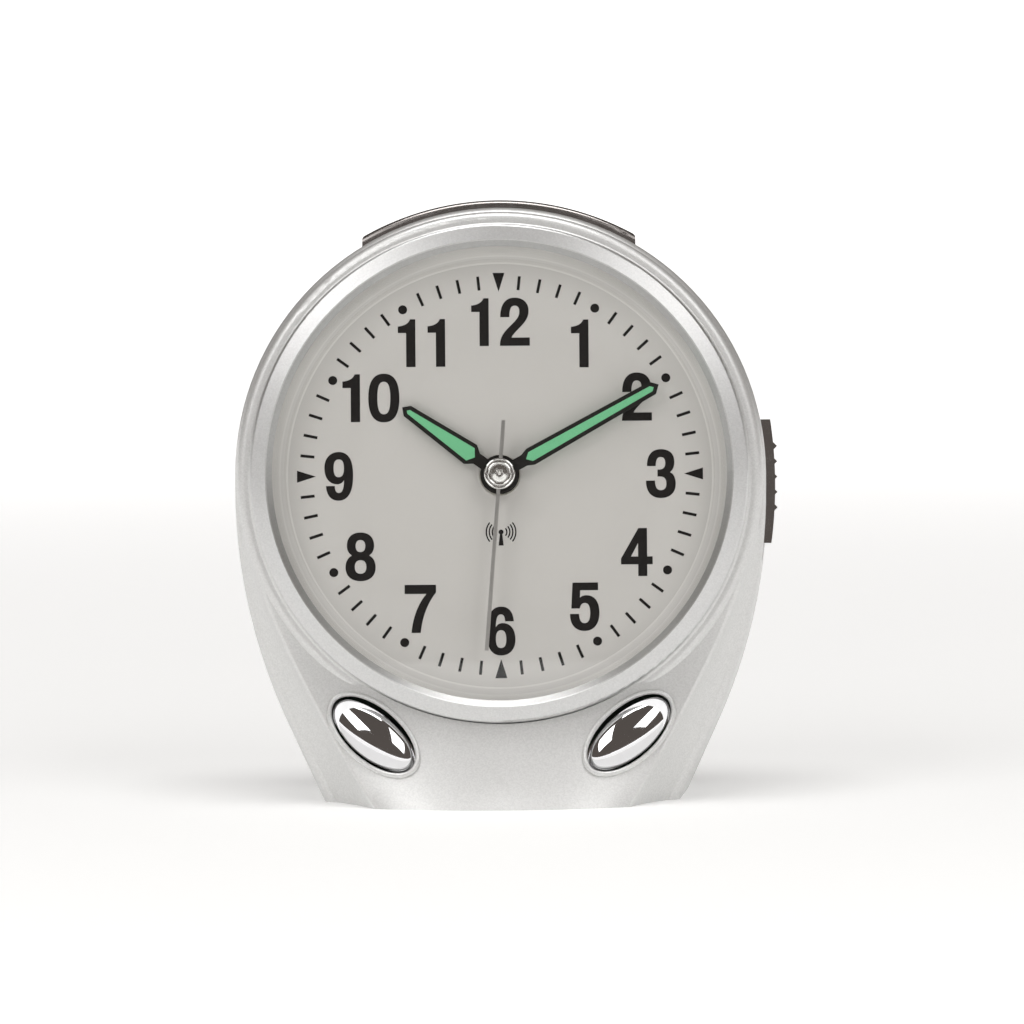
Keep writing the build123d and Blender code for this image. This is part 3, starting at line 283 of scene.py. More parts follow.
def clear_lens():
    """Clear moulding: see-through in the middle, with an even gloss along its moulded skirt."""
    finish = Finish("clear_lens")
    depth = finish.axes(finish.place(HEAD))[1]
    skirt = finish.from_axis().over(SKIRT_RADIUS) * depth.over(SKIRT_FRONT)
    gloss = finish.add("ShaderNodeBsdfGlossy", None, {"Color": (1, 1, 1, 1), "Roughness": 0.02})
    clear = finish.add("ShaderNodeBsdfTransparent", None, {"Color": (0.985, 0.985, 0.98, 1)})
    facing = finish.out(finish.add("ShaderNodeLayerWeight", None, {"Blend": 0.5}), "Facing")
    slant = (facing ** SLANT_POWER) * SLANT_GLOSS * (1.0 - skirt)
    share = LENS_GLOSS + slant + skirt * SKIRT_GLOSS
    mix = finish.add("ShaderNodeMixShader", None, {0: share})
    finish.tree.links.new(clear.outputs[0], mix.inputs[1])
    finish.tree.links.new(gloss.outputs[0], mix.inputs[2])
    finish.tree.links.new(mix.outputs[0], finish.output.inputs["Surface"])
    return finish.material


# Painted light: the dial grows paler from the first of these radii and is palest past the second, under
# the skirt, to lift the shade that the bezel and the skirt cast on its edge
PAINTED_LIGHT_START = 30.0 * MM
PAINTED_LIGHT_EDGE = 42.4 * MM
# Painted shade under the skirt: a grey ring between two radii and a fainter one past a third, in place
# of the dark bands that the skirt shows
SHADE_RING_INNER = 42.75 * MM
SHADE_RING_OUTER = 43.9 * MM
FAINT_SHADE_INNER = 44.25 * MM


def dial_card():
    """Warm grey dial with a fine satin grain, paler towards its edge as painted light, and rings of
    painted shade where the lens's skirt stands.
    """
    finish = Finish("dial_card")
    where = finish.place()
    grain = finish.noise(where, scale=6000.0, roughness=0.6)
    cloud = finish.noise(where, scale=25.0)
    radius = finish.from_axis()
    grey = finish.tint(grain * 0.5 + cloud * 0.5, (0.64, 0.625, 0.605), (0.70, 0.685, 0.665))
    painted_pale = finish.tint(grain, (0.92, 0.905, 0.885), (0.96, 0.945, 0.925))
    # Painted light towards the edge, to lift the shade of the bezel and skirt
    edge = radius.ramp(PAINTED_LIGHT_START, PAINTED_LIGHT_EDGE) * 0.35 + radius.over(PAINTED_LIGHT_EDGE) * 0.65
    # Painted shade rings where the lens's skirt stands
    painted_ring_shade = radius.between(SHADE_RING_INNER, SHADE_RING_OUTER) * 0.35
    shade = painted_ring_shade + radius.over(FAINT_SHADE_INNER) * 0.15
    return finish.shade(
        base_color=finish.blend(edge - shade, grey, painted_pale),
        roughness=0.42 + grain * 0.1,
        normal=finish.bump(grain, strength=0.05, distance=0.02 * MM),
    )


# Angle of the ring pattern to a metre of radius, which puts a ring at each half millimetre
LATHE_RINGS = 12000.0


def turned_metal():
    """Bright metal with the faint rings that a lathe leaves in its gloss."""
    finish = Finish("turned_metal")
    rings = (finish.from_axis() * LATHE_RINGS).sine()
    smear = finish.noise(finish.place(), scale=900.0, detail=3.0, roughness=0.6)
    return finish.shade(
        base_color=finish.tint(smear, (0.74, 0.73, 0.72), (0.86, 0.85, 0.84)),
        metallic=1.0,
        roughness=0.13 + smear * 0.04 + rings * 0.03,
    )


# The two cells lie above and below this height on the dial's upright, heads opposite ways
CELLS_MIDDLE = -44.0 * MM
COPPER_START = 10.0 * MM


def cell_jacket():
    """Dark printed sleeve of a battery cell, copper coloured towards its positive end."""
    finish = Finish("cell_jacket")
    where = finish.place(HEAD)
    across, _, upward = finish.axes(where)
    upper = upward.over(CELLS_MIDDLE)
    copper = (across * (upper * 2.0 - 1.0)).over(COPPER_START)
    scuff = finish.noise(where, scale=700.0, detail=4.0, roughness=0.6)
    dark = finish.tint(scuff, (0.030, 0.033, 0.040), (0.050, 0.054, 0.062))
    warm = finish.tint(scuff, (0.50, 0.24, 0.10), (0.62, 0.32, 0.15))
    return finish.shade(
        base_color=finish.blend(copper, dark, warm),
        metallic=0.25 + copper * 0.6,
        roughness=0.24 + scuff * 0.14,
    )


def plain(name, low, high, roughness, metallic=0.0, scale=900.0, bump=0.05, **more):
    """A moulded, printed or rolled surface with a small variation in tone and gloss."""
    finish = Finish(name)
    grain = finish.noise(finish.place(), scale, detail=3.0, roughness=0.55)
    return finish.shade(
        base_color=finish.tint(grain, low, high),
        metallic=metallic,
        roughness=roughness - 0.06 + grain * 0.12,
        normal=finish.bump(grain, bump, distance=0.05 * MM),
        **more,
    )


case_paint = silver_paint(
    "case_paint",
    light=(0.765, 0.765, 0.755),
    dark=(0.665, 0.665, 0.655),
    metallic=0.65,
    roughness=0.38,
)
bezel_paint = silver_paint(
    "bezel_paint",
    light=(0.70, 0.70, 0.695),
    dark=(0.62, 0.62, 0.615),
    metallic=0.95,
    roughness=0.35,
    painted_shade_radius=BEZEL_SLOPE_RADIUS,
)
dial_paper = dial_card()

METAL = {"metallic": 1.0}
BLACK_PRINT = {"scale": 3000.0, "specular_ior_level": 0.2}
WINDING = {"metallic": 0.9, "scale": 3000.0, "bump": 0.3}
POLISHED = {"metallic": 1.0, "scale": 1500.0, "bump": 0.01}
# Dark tone, light tone and roughness of each plain surface, and what else sets it apart
SURFACES = {
    "hand_black": ((0.006, 0.005, 0.005), (0.012, 0.011, 0.010), 0.5, BLACK_PRINT),
    "lume_green": ((0.15, 0.54, 0.27), (0.21, 0.64, 0.34), 0.65, {"scale": 4000.0}),
    "polished_hand": ((0.40, 0.39, 0.38), (0.48, 0.47, 0.46), 0.30, POLISHED),
    "key_grey": ((0.045, 0.045, 0.047), (0.065, 0.065, 0.068), 0.45, {"scale": 2500.0}),
    "movement_plastic": ((0.68, 0.66, 0.60), (0.74, 0.72, 0.66), 0.5, {}),
    "wheel_plastic": ((0.74, 0.73, 0.66), (0.80, 0.79, 0.72), 0.35, {}),
    "arbor_steel": ((0.52, 0.52, 0.53), (0.62, 0.62, 0.63), 0.25, METAL),
    "stator_steel": ((0.30, 0.30, 0.31), (0.38, 0.38, 0.39), 0.4, METAL),
    "copper_winding": ((0.45, 0.17, 0.07), (0.62, 0.27, 0.12), 0.35, WINDING),
    "board_green": ((0.010, 0.085, 0.030), (0.018, 0.120, 0.045), 0.35, {}),
    "chip_black": ((0.012, 0.012, 0.012), (0.022, 0.022, 0.022), 0.6, {}),
    "can_silver": ((0.55, 0.55, 0.57), (0.66, 0.66, 0.68), 0.35, METAL),
    "plunger_black": ((0.015, 0.015, 0.015), (0.028, 0.028, 0.028), 0.5, {}),
    "screw_steel": ((0.40, 0.40, 0.41), (0.54, 0.54, 0.55), 0.3, METAL),
    "speaker_steel": ((0.36, 0.36, 0.37), (0.46, 0.46, 0.47), 0.4, METAL),
    "ferrite": ((0.020, 0.020, 0.021), (0.035, 0.035, 0.036), 0.7, {"metallic": 0.3}),
    "cone_paper": ((0.012, 0.012, 0.013), (0.026, 0.026, 0.027), 0.85, {"scale": 2500.0, "bump": 0.4}),
    "clip_plastic": ((0.58, 0.58, 0.55), (0.66, 0.66, 0.63), 0.5, {}),
    "lead_red": ((0.30, 0.012, 0.010), (0.40, 0.020, 0.016), 0.45, {}),
    "contact_plated": ((0.52, 0.50, 0.46), (0.64, 0.62, 0.58), 0.28, METAL),
}
finishes = {
    "case_silver": case_paint,
    "plated_trim": chrome_plate(),
    "clear_lens": clear_lens(),
    "dial_face": dial_paper,
    "cell_jacket": cell_jacket(),
}
for surface, (low, high, roughness, more) in SURFACES.items():
    finishes[surface] = plain(surface, low, high, roughness, **more)
dial_ink = plain(
    "dial_ink",
    low=(0.008, 0.007, 0.007),
    high=(0.014, 0.012, 0.012),
    roughness=0.6,
    scale=3000.0,
    specular_ior_level=0.15,
)

for entry in frame["record"]["subparts"]:
    nodes[entry["node"]].material_slots[0].material = finishes[entry["material_slot"]]
nodes["bezel_ring"].material_slots[0].material = bezel_paint
nodes["talk_bar"].material_slots[0].material = shaded_chrome_plate()


def finished(name, mesh, material, body):
    """A mesh in place becomes a piece that rides on a body."""
    mesh.name = name
    mesh.materials.clear()
    mesh.materials.append(material)
    shown = bpy.data.objects.new(name, mesh)
    bpy.context.scene.collection.objects.link(shown)
    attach(shown, body)
    return shown


def curve_mesh(curve):
    """The filled or swept mesh of a curve, with the curve thrown away."""
    holder = bpy.data.objects.new(curve.name, curve)
    bpy.context.scene.collection.objects.link(holder)
    bpy.context.view_layer.update()
    mesh = bpy.data.meshes.new_from_object(holder)
    bpy.data.objects.remove(holder)
    return mesh


def mesh_of(shape):
    """The mesh of a shape under construction, its faces turned outwards."""
    bmesh.ops.recalc_face_normals(shape, faces=shape.faces)
    mesh = bpy.data.meshes.new("shape")
    shape.to_mesh(mesh)
    shape.free()
    return mesh


def smoothed(mesh):
    for face in mesh.polygons:
        face.use_smooth = True
    return mesh


# Points closer than this become one where a turned shape closes
SEAM = 0.0001 * MM


def turn_round(shape, geometry, centre, axis, steps, seam=SEAM):
    """Spins a profile once about an axis and closes the seam."""
    bmesh.ops.spin(
        shape, geom=geometry, cent=centre, axis=axis,
        angle=FULL_TURN, steps=steps, use_merge=True, use_duplicate=False,
    )
    bmesh.ops.remove_doubles(shape, verts=shape.verts, dist=seam)


# Width and outline of each digit in hundredths of its height. M starts a closed loop, L is a straight
# run to a point, and C is a curve with two handles and its end point. A nine is a six turned half round
DIGITS = {
    "0": (
        65.0,
        "M 32.5 -1 C 11 -1 0 16 0 50 C 0 84 11 101 32.5 101 "
        "C 54 101 65 84 65 50 C 65 16 54 -1 32.5 -1 Z "
        "M 32.5 16 C 42 16 46 26 46 50 C 46 74 42 84 32.5 84 "
        "C 23 84 19 74 19 50 C 19 26 23 16 32.5 16 Z",
    ),
    "1": (
        36.6,
        "M 17.2 0 L 36.6 0 L 36.6 100 L 25.4 100 C 23.4 92 14 86 0 85 L 0 71.4 L 17.2 71.4 Z",
    ),
    "2": (
        62.5,
        "M 0 0 L 62.5 0 L 62.5 17.2 L 24.4 17.2 C 27 23.5 34 30 42.5 38.8 "
        "C 52.5 49.2 60.5 58.5 60.5 73.5 C 60.5 89.5 49.5 100.8 31.2 100.8 "
        "C 12.5 100.8 1 87.5 1 60 L 20.3 60 C 20.3 77 23.5 84 31 84 "
        "C 38 84 41 79.5 41 72 C 41 62.5 37 57 28.5 48.2 C 10.5 30.5 0 21.5 0 0 Z",
    ),
    "3": (
        62.0,
        "M 2.4 65.8 L 20.6 65.8 C 21 79 24 84.5 31.2 84.5 C 37.5 84.5 40.5 80 40.5 72 "
        "C 40.5 64 37 58.5 28 58.5 L 24.2 58.5 L 24.2 43.9 L 29 43.9 "
        "C 38 43.9 42.5 39.5 42.5 29 C 42.5 21 39 15.5 31 15.5 "
        "C 22.5 15.5 19 22.5 19 35.5 L 0 35.5 C 0 10.5 12 -1 31 -1 C 50 -1 62 10 62 28.5 "
        "C 62 40.5 58.5 49 50.5 53 C 56 57 59.5 64 59.5 75 "
        "C 59.5 91 50 101 31.5 101 C 12 101 2.4 88 2.4 65.8 Z",
    ),
    "4": (
        66.0,
        "M 35.7 0 L 54.6 0 L 54.6 24.4 L 66 24.4 L 66 40.8 L 54.6 40.8 L 54.6 100 L 36.6 100 "
        "L 0 36.5 L 0 24.4 L 35.7 24.4 Z M 35.7 40.8 L 21 40.8 L 35.7 68.5 Z",
    ),
    "5": (
        61.5,
        "M 5.8 100 L 3 46 L 20.6 46 C 22.3 53.5 25.5 57.5 31 57.5 "
        "C 38.5 57.5 42.2 50.5 42.2 37 C 42.2 23.5 38.5 15.5 30.5 15.5 "
        "C 23 15.5 19.4 22.5 19 34.8 L 0 34.8 C 0 11.5 11.5 -0.8 30.5 -0.8 "
        "C 49.5 -0.8 61.5 13.5 61.5 37.5 C 61.5 60 51.5 73.5 35 73.5 "
        "C 29 73.5 24.5 72 21 68.5 L 22 84 L 59 84 L 59 100 Z",
    ),
    "6": (
        60.0,
        "M 56.8 70 L 38.5 70 C 38 80 35.5 84.5 30 84.5 C 22.5 84.5 19.5 76 19.1 57.5 "
        "C 22 63.5 27 66.5 33.5 66.5 C 49.5 66.5 60 53.5 60 32.5 "
        "C 60 12 48 -1 30 -1 C 10 -1 0 14.5 0 48 C 0 83 11 100.8 30.5 100.8 "
        "C 46 100.8 55.5 90.5 56.8 70 Z "
        "M 30 14.6 C 37.5 14.6 40.8 20.5 40.8 33 C 40.8 45.5 37.5 51.6 30 51.6 "
        "C 22.5 51.6 19.2 45.5 19.2 33 C 19.2 20.5 22.5 14.6 30 14.6 Z",
    ),
    "7": (
        65.4,
        "M 0 100 L 0 81 L 45.3 81 C 28 61 17 33 13.8 0 L 33 0 "
        "C 37 36 49 63.5 65.4 84 L 65.4 100 Z",
    ),
    "8": (
        62.8,
        "M 31.4 -0.8 C 12 -0.8 0 10 0 28 C 0 40 5 48.5 13.5 53 C 6.5 57 3 64 3 73.5 "
        "C 3 90.5 13.5 100.8 31.4 100.8 C 49.3 100.8 59.8 90.5 59.8 73.5 "
        "C 59.8 64 56.3 57 49.3 53 C 57.8 48.5 62.8 40 62.8 28 C 62.8 10 50.8 -0.8 31.4 -0.8 Z "
        "M 31.4 60 C 38 60 41.4 64.5 41.4 72.5 C 41.4 80.5 38 85 31.4 85 "
        "C 24.8 85 21.4 80.5 21.4 72.5 C 21.4 64.5 24.8 60 31.4 60 Z "
        "M 31.4 14.8 C 39.4 14.8 43.4 19.8 43.4 28.8 C 43.4 37.8 39.4 43 31.4 43 "
        "C 23.4 43 19.4 37.8 19.4 28.8 C 19.4 19.8 23.4 14.8 31.4 14.8 Z",
    ),
}
DIGIT_HEIGHT = 100
HALF_TURN = Matrix.Diagonal((-1, -1, 1, 1))
# Two ends closer than this, in the outline's own measure, are one point
LOOP_CLOSED = 0.001

NUMBER_HEIGHT = 9.6 * MM
# Middle of each number, right and up from the dial's centre, and the gap between its digits. Millimetres
NUMBERS = {
    "12": (0.33, 30.72, 2.2),
    "1": (16.19, 26.28, 0.0),
    "2": (27.50, 15.48, 0.0),
    "3": (32.16, 0.04, 0.0),
    "4": (27.23, -15.62, 0.0),
    "5": (16.73, -26.43, 0.0),
    "6": (0.0, -31.18, 0.0),
    "7": (-16.07, -26.64, 0.0),
    "8": (-27.98, -16.14, 0.0),
    "9": (-32.24, 0.0, 0.0),
    "10": (-25.71, 15.65, 1.65),
    "11": (-15.51, 26.62, 2.45),
}
INK_LIFT = 0.03 * MM
INK_HALF = 0.012 * MM
INK_BACK = INK_LIFT - INK_HALF


def digit_outline(sign):
    """A digit's width, its path, and how the path is turned."""
    if sign != "9":
        return *DIGITS[sign], Matrix()
    width, path = DIGITS["6"]
    return width, path, Matrix.Translation((width, DIGIT_HEIGHT, 0)) @ HALF_TURN


def points_of(words):
    """The pairs of numbers in a text, as flat points."""
    values = [float(word) for word in words.split()]
    return [Vector(pair) for pair in zip(values[::2], values[1::2])]


def draw_outline(curve, path, place):
    """Adds the closed loops of a path to a flat curve."""
    for loop in path.split("M")[1:]:
        start, *runs = re.split("[LC]", loop.replace("Z", ""))
        # Each spot is followed by the handle before it and the one after it, if the run there is curved
        spots = [[points_of(start)[0], None, None]]
        for run in runs:
            *handles, end = points_of(run)
            before = None
            if handles:
                spots[-1][2], before = handles
            spots.append([end, before, None])
        if (spots[-1][0] - spots[0][0]).length < LOOP_CLOSED:
            spots[0][1] = spots.pop()[1]
        spline = curve.splines.new("BEZIER")
        spline.bezier_points.add(len(spots) - 1)
        spline.use_cyclic_u = True
        for point, (spot, before, after) in zip(spline.bezier_points, spots):
            point.handle_left_type = "FREE" if before else "VECTOR"
            point.handle_right_type = "FREE" if after else "VECTOR"
            point.co = place @ spot.to_3d()
            point.handle_left = place @ (before or spot).to_3d()
            point.handle_right = place @ (after or spot).to_3d()


def dial_numbers():
    """The hours, printed upright round the dial."""
    curve = bpy.data.curves.new("numbers", "CURVE")
    curve.dimensions = "2D"
    curve.fill_mode = "BOTH"
    curve.resolution_u = 10
    curve.extrude = INK_HALF
    unit = NUMBER_HEIGHT / DIGIT_HEIGHT
    for text, (right, up, gap) in NUMBERS.items():
        digits = [digit_outline(sign) for sign in text]
        width = sum(digit[0] for digit in digits) * unit + gap * MM * (len(text) - 1)
        left = right * MM - width / 2
        low = up * MM - NUMBER_HEIGHT / 2
        for across, path, turn in digits:
            place = Matrix.Translation((left, low, 0)) @ Matrix.Scale(unit, 4)
            draw_outline(curve, path, place @ turn)
            left += across * unit + gap * MM
    mesh = curve_mesh(curve)
    mesh.transform(ARTWORK @ Matrix.Translation((0, 0, INK_LIFT)))
    return finished("dial_numbers", mesh, dial_ink, "clock")


def raised_print(shape):
    """Flat shapes get the thickness of printed ink and their place on the dial."""
    raised = bmesh.ops.extrude_face_region(shape, geom=list(shape.faces), use_keep_orig=True)
    top = [item for item in raised["geom"] if isinstance(item, bmesh.types.BMVert)]
    bmesh.ops.translate(shape, verts=top, vec=(0, 0, 2 * INK_HALF))
    mesh = mesh_of(shape)
    mesh.transform(ARTWORK)
    return mesh


TICK_INNER = 37.3 * MM
TICK_OUTER = 40.1 * MM
TICK_WIDTH = 0.58 * MM
DOT_RADIUS = 0.9 * MM
DOT_CIRCLE = 38.5 * MM
MARK_BASE = 40.6 * MM
MARK_TIP = 36.8 * MM
MARK_WIDTH = 2.4 * MM


def minute_track():
    """Ticks for the minutes, dots for the hours and triangles for the quarters."""
    shape = bmesh.new()
    tick_middle = (TICK_INNER + TICK_OUTER) / 2
    tick_size = Matrix.Diagonal((TICK_WIDTH, TICK_OUTER - TICK_INNER, 1, 1))
    mark = [(-MARK_WIDTH / 2, MARK_BASE), (0, MARK_TIP), (MARK_WIDTH / 2, MARK_BASE)]
    for minute in range(60):
        turn = Matrix.Rotation(-FULL_TURN * minute / 60, 4, "Z")
        if minute % 15 == 0:
            shape.faces.new([shape.verts.new(turn @ Vector((x, y, INK_BACK))) for x, y in mark])
        elif minute % 5 == 0:
            disc = turn @ Matrix.Translation((0, DOT_CIRCLE, INK_BACK))
            bmesh.ops.create_circle(shape, cap_ends=True, segments=32, radius=DOT_RADIUS, matrix=disc)
        else:
            tick = turn @ Matrix.Translation((0, tick_middle, INK_BACK)) @ tick_size
            bmesh.ops.create_grid(shape, x_segments=1, y_segments=1, size=0.5, matrix=tick)
    return finished("minute_track", raised_print(shape), dial_ink, "clock")


SIGNAL_PLACE = (0.15 * MM, -11.4 * MM)
SIGNAL_ARCS = (1.15 * MM, 1.75 * MM, 2.35 * MM, 2.95 * MM)
SIGNAL_SPREAD = math.radians(40)
SIGNAL_LINE = 0.27 * MM
MAST_HEIGHT = 2.7 * MM
MAST_HALF = 0.5 * MM
MAST_TAPER = 0.4
MAST_BALL = 0.5 * MM


def signal_mark():
    """A small mast between radio waves, printed under the middle of the dial."""
    shape = bmesh.new()
    flat = Matrix.Translation((*SIGNAL_PLACE, INK_BACK))
    bmesh.ops.create_circle(shape, cap_ends=True, segments=24, radius=MAST_BALL, matrix=flat)
    # The mast lies a little higher than its ball, so that the two share no face
    lifted = flat @ Matrix.Translation((0, 0, INK_HALF))
    tip = MAST_HALF * MAST_TAPER
    mast = [(-MAST_HALF, -MAST_HEIGHT), (MAST_HALF, -MAST_HEIGHT), (tip, 0), (-tip, 0)]
    shape.faces.new([shape.verts.new(lifted @ Vector((x, y, 0))) for x, y in mast])
    for side in (-1, 1):
        turn = Matrix.Rotation(-side * SIGNAL_SPREAD, 4, "Z")
        for radius in SIGNAL_ARCS:
            ends = []
            for across in (radius - SIGNAL_LINE / 2, radius + SIGNAL_LINE / 2):
                ends.append(shape.verts.new(flat @ turn @ Vector((side * across, 0, 0))))
            edge = shape.edges.new(ends)
            bmesh.ops.spin(
                shape, geom=[*ends, edge], cent=flat.to_translation(), axis=(0, 0, side),
                angle=2 * SIGNAL_SPREAD, steps=16, use_merge=False, use_duplicate=False,
            )
    return finished("signal_mark", raised_print(shape), dial_ink, "clock")


# Oval buttons, as seen square to the dial
OVAL_MIDDLE = Vector((25.31 * MM, -51.7 * MM))
OVAL_HALF = Vector((9.5 * MM, 4.55 * MM))
OVAL_TURN = math.radians(40.7)
RIM_MIDDLE = 1.1 * MM
RIM_RADIUS = 0.5 * MM
RIM_SINK = 0.2 * MM
RIM_POINTS = 120
# Well in front of the clock
RAY_START = -80.0 * MM


def button_rim(side, surface):
    """The rounded bead round an oval button, laid on the apron."""
    curve = bpy.data.curves.new("rim", "CURVE")
    curve.dimensions = "3D"
    curve.bevel_depth = RIM_RADIUS
    curve.bevel_resolution = 5
    spline = curve.splines.new("POLY")
    spline.points.add(RIM_POINTS - 1)
    spline.use_cyclic_u = True
    into = HEAD.to_3x3() @ Vector((0, 1, 0))
    turn = Matrix.Rotation(OVAL_TURN, 2)
    reach = OVAL_HALF + Vector((RIM_MIDDLE, RIM_MIDDLE))
    for number, point in enumerate(spline.points):
        angle = FULL_TURN * number / RIM_POINTS
        spot = turn @ Vector((reach.x * math.cos(angle), reach.y * math.sin(angle))) + OVAL_MIDDLE
        start = HEAD @ Vector((side * spot.x, RAY_START, spot.y))
        hit = surface.ray_cast(start, into)[0]
        point.co = (*(hit + into * RIM_SINK), 1)
    name = "left_button_rim" if side < 0 else "right_button_rim"
    return finished(name, smoothed(curve_mesh(curve)), case_paint, "clock")


BACK_FACE = 38.0 * MM
COLLAR_RADIUS = 4.1 * MM
COLLAR_ROUND = 0.45 * MM
COLLAR_STEPS = 64


def middle_on_back(key):
    """Where a key's middle lies on the clock's back."""
    low, high = (Vector(corner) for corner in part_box(key))
    middle = HEAD.inverted() @ ((low + high) / 2)
    return Vector((middle.x, BACK_FACE, middle.z))


def rounded_moulding(name, shape):
    """A rounded shape in the dial's frame becomes part of the case's moulding."""
    mesh = smoothed(mesh_of(shape))
    mesh.transform(HEAD)
    return finished(name, mesh, case_paint, "clock")


def key_collar(key):
    """The raised round edge that a fingertip finds about a key on the back."""
    shape = bmesh.new()
    middle = middle_on_back(key)
    across = Matrix.Translation(middle + Vector((COLLAR_RADIUS, 0, 0)))
    bmesh.ops.create_circle(shape, cap_ends=False, segments=16, radius=COLLAR_ROUND, matrix=across)
    turn_round(shape, [*shape.verts, *shape.edges], middle, (0, 1, 0), COLLAR_STEPS)
    return rounded_moulding(key + "_collar", shape)


ZONES = 4
ZONE_START = 12.0 * MM
ZONE_STEP = 2.0 * MM
ZONE_DOT_RISE = 2.9 * MM
ZONE_DOT_RADIUS = 0.5 * MM


def zone_dots():
    """Raised dots over the zone slide, one for each place it stops at."""
    shape = bmesh.new()
    # The slide is in line with the keys
    height = middle_on_back("outer_key").z + ZONE_DOT_RISE
    for zone in range(ZONES):
        bmesh.ops.create_uvsphere(
            shape, u_segments=20, v_segments=12, radius=ZONE_DOT_RADIUS,
            matrix=Matrix.Translation((ZONE_START + zone * ZONE_STEP, BACK_FACE, height)),
        )
    return rounded_moulding("zone_dots", shape)


CREASE = math.radians(35)


def lathe(profile, steps):
    """Turns a closed profile, of radii and depths in millimetres, about the dial's axis."""
    shape = bmesh.new()
    spots = [shape.verts.new((radius * MM, depth * MM, 0)) for radius, depth in profile]
    # An edge that lies on the axis would sweep no face
    pairs = zip(spots, [*spots[1:], spots[0]])
    edges = [shape.edges.new(pair) for pair in pairs if max(spot.co.x for spot in pair) > 0]
    turn_round(shape, [*spots, *edges], (0, 0, 0), (0, 1, 0), steps)
    mesh = smoothed(mesh_of(shape))
    mesh.set_sharp_from_angle(angle=CREASE)
    mesh.transform(HEAD)
    return mesh


RING_STEPS = 192
# The printed card lies a hair in front of the lens's foot, so that the two don't share a face
CARD_PROFILE = [(4.1, -0.015), (47.2, -0.015), (47.2, 0.8), (4.1, 0.8)]


def printed_card():
    mesh = lathe(CARD_PROFILE, RING_STEPS)
    return finished("dial_card", mesh, dial_paper, "clock")


# Millimetres, as the lathe takes them
BEZEL_WALL = 49.55
BOSS_FRONT = -5.4
COVE_RADIUS = 1.1
COVE_SINK = 0.08
COVE_STEPS = 8


def bezel_cove():
    """The soft hollow where the bezel's wall meets the case's round boss."""
    inner = BEZEL_WALL - COVE_SINK
    back = BOSS_FRONT + COVE_SINK
    profile = [(inner, back)]
    for step in range(COVE_STEPS + 1):
        angle = math.pi / 2 * step / COVE_STEPS
        across = inner + COVE_RADIUS * (1 - math.cos(angle))
        depth = back - COVE_RADIUS * (1 - math.sin(angle))
        profile.append((across, depth))
    return finished("bezel_cove", lathe(profile, RING_STEPS), case_paint, "clock")


# Radii and depths up the turned cap of the second hand, from its rim to its middle and back
CAP_PROFILE = [
    (3.1, -4.8), (3.1, -5.2), (3.03, -5.34), (2.88, -5.4), (2.76, -5.36), (2.7, -5.24), (2.66, -4.9),
    (2.5, -4.9), (2.44, -5.5), (2.36, -5.64), (2.22, -5.68), (2.1, -5.62), (2.04, -5.5), (1.6, -5.48),
    (1.15, -5.54), (0.78, -5.62), (0.7, -5.72), (0.58, -5.72), (0.5, -5.6), (0.38, -5.6), (0.28, -5.74),
    (0.12, -5.8), (0.0, -5.8), (0.0, -4.8),
]
CAP_STEPS = 64


def second_hand_cap():
    mesh = lathe(CAP_PROFILE, CAP_STEPS)
    return finished("turned_cap", mesh, turned_metal(), "second_train")


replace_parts(printed_card(), "dial")
dial_numbers()
minute_track()
bezel_cove()
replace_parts(second_hand_cap(), "second_cap")
signal_mark()
key_collar("outer_key")
key_collar("inner_key")
zone_dots()
shell = BVHTree.FromObject(nodes["front_case"], bpy.context.evaluated_depsgraph_get())
for side in (-1, 1):
    button_rim(side, shell)

# Distance from the middle and height, out to the wall
FLOOR_PROFILE = [(0, 0), (0.8, 0), (2.2, 0), (2.45, 0.03), (2.65, 0.11), (2.77, 0.24), (2.8, 0.38)]
FLOOR_STEPS = 96
FLOOR_SEAM = 0.01 * MM
# The floor glows more with distance
GLOW_NEAR = (0.34, 0.34, 0.34)
GLOW_FAR = (0.97, 0.97, 0.97)
GLOW_RISE = 0.55


def studio_white():
    finish = Finish("studio_white")
    where = finish.place()
    cloud = finish.noise(where, scale=3.0)
    across, along, _ = finish.axes(where)
    distance = (across * across + along * along) ** 0.5
    return finish.shade(
        base_color=finish.tint(cloud, (0.74, 0.74, 0.73), (0.77, 0.77, 0.76)),
        roughness=0.8,
        emission_color=finish.tint(distance * GLOW_RISE, GLOW_NEAR, GLOW_FAR),
        emission_strength=1.0,
    )


def studio_floor():
    """A round floor that curves up into a low wall, so that no horizon shows from any side."""
    shape = bmesh.new()
    spots = [shape.verts.new((across, 0, height)) for across, height in FLOOR_PROFILE]
    edges = [shape.edges.new(pair) for pair in zip(spots, spots[1:])]
    turn_round(shape, [*spots, *edges], (0, 0, 0), (0, 0, 1), FLOOR_STEPS, FLOOR_SEAM)
    mesh = smoothed(mesh_of(shape))
    mesh.materials.append(studio_white())
    floor = bpy.data.objects.new("studio_floor", mesh)
    bpy.context.scene.collection.objects.link(floor)


LIT_POINT = Vector((0, 0, 0.06))


def softbox(name, place, along, length, width, power):
    """A rectangular light that faces the clock, its long side turned along a direction."""
    light = bpy.data.lights.new(name, "AREA")
    light.shape = "RECTANGLE"
    light.size = length
    light.size_y = width
    light.energy = power
    lamp = bpy.data.objects.new(name, light)
    back = (Vector(place) - LIT_POINT).normalized()
    upward = back.cross(Vector(along)).normalized()
    turned = Matrix((upward.cross(back), upward, back)).transposed()
    lamp.matrix_world = Matrix.Translation(place) @ turned.to_4x4()
    bpy.context.scene.collection.objects.link(lamp)


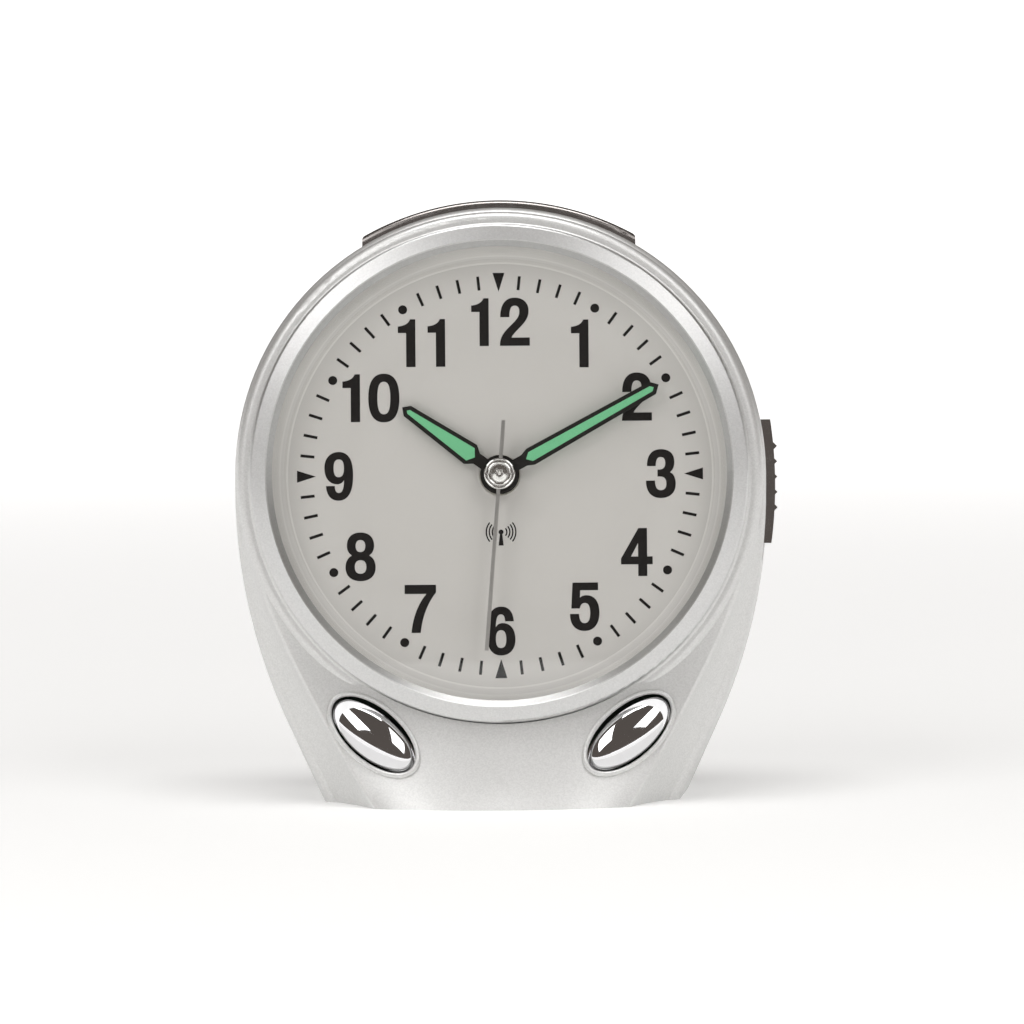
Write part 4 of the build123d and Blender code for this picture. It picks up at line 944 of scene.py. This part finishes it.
studio_floor()
softbox("left_softbox", (-0.56, -0.745, 0.82), (-0.25, 0.59, 0.393), length=0.8, width=0.45, power=3.4)
softbox("right_softbox", (0.56, -0.745, 0.82), (0.25, 0.59, 0.393), length=0.8, width=0.45, power=3.0)
softbox("overhead_softbox", (0.0, -0.15, 1.35), (1, 0, 0), length=0.9, width=0.45, power=7.6)

ROOM_COLOUR = (0.11, 0.095, 0.085, 1.0)
world = bpy.data.worlds.new("studio")
world.use_nodes = True
background = world.node_tree.nodes["Background"]
background.inputs["Color"].default_value = ROOM_COLOUR
background.inputs["Strength"].default_value = 1.0
bpy.context.scene.world = world
bpy.context.scene.view_settings.view_transform = "Standard"

# Camera at the photograph's angle, in its 1024 by 1024 frame
FRAME_PIXELS = 1024
VIEW_DISTANCE = 0.95
VIEW_ELEVATION = math.radians(3.0)
VIEW_YAW = math.radians(0.7)
VIEW_ROLL = math.radians(0.5)
PIXEL = 0.2 * MM
DIAL_PIXEL_RIGHT = 499.9
DIAL_PIXEL_DOWN = 475.1
AIM_RIGHT = (FRAME_PIXELS / 2 - DIAL_PIXEL_RIGHT) * PIXEL
AIM_DOWN = (FRAME_PIXELS / 2 - DIAL_PIXEL_DOWN) * PIXEL

optics = bpy.data.cameras.new("camera")
optics.sensor_width = 36.0
optics.lens = VIEW_DISTANCE / PIXEL / FRAME_PIXELS * optics.sensor_width
optics.clip_start = 0.01
optics.clip_end = 50.0
camera = bpy.data.objects.new("camera", optics)
bpy.context.scene.collection.objects.link(camera)
towards = Vector(
    (
        math.sin(VIEW_YAW) * math.cos(VIEW_ELEVATION),
        -math.cos(VIEW_YAW) * math.cos(VIEW_ELEVATION),
        math.sin(VIEW_ELEVATION),
    )
)
facing = (-towards).to_track_quat("-Z", "Y").to_matrix()
turned = facing @ Matrix.Rotation(-VIEW_ROLL, 3, "Z")
aim = dial_centre + turned @ Vector((AIM_RIGHT, -AIM_DOWN, 0))
camera.matrix_world = Matrix.Translation(aim + towards * VIEW_DISTANCE) @ turned.to_4x4()
bpy.context.scene.camera = camera
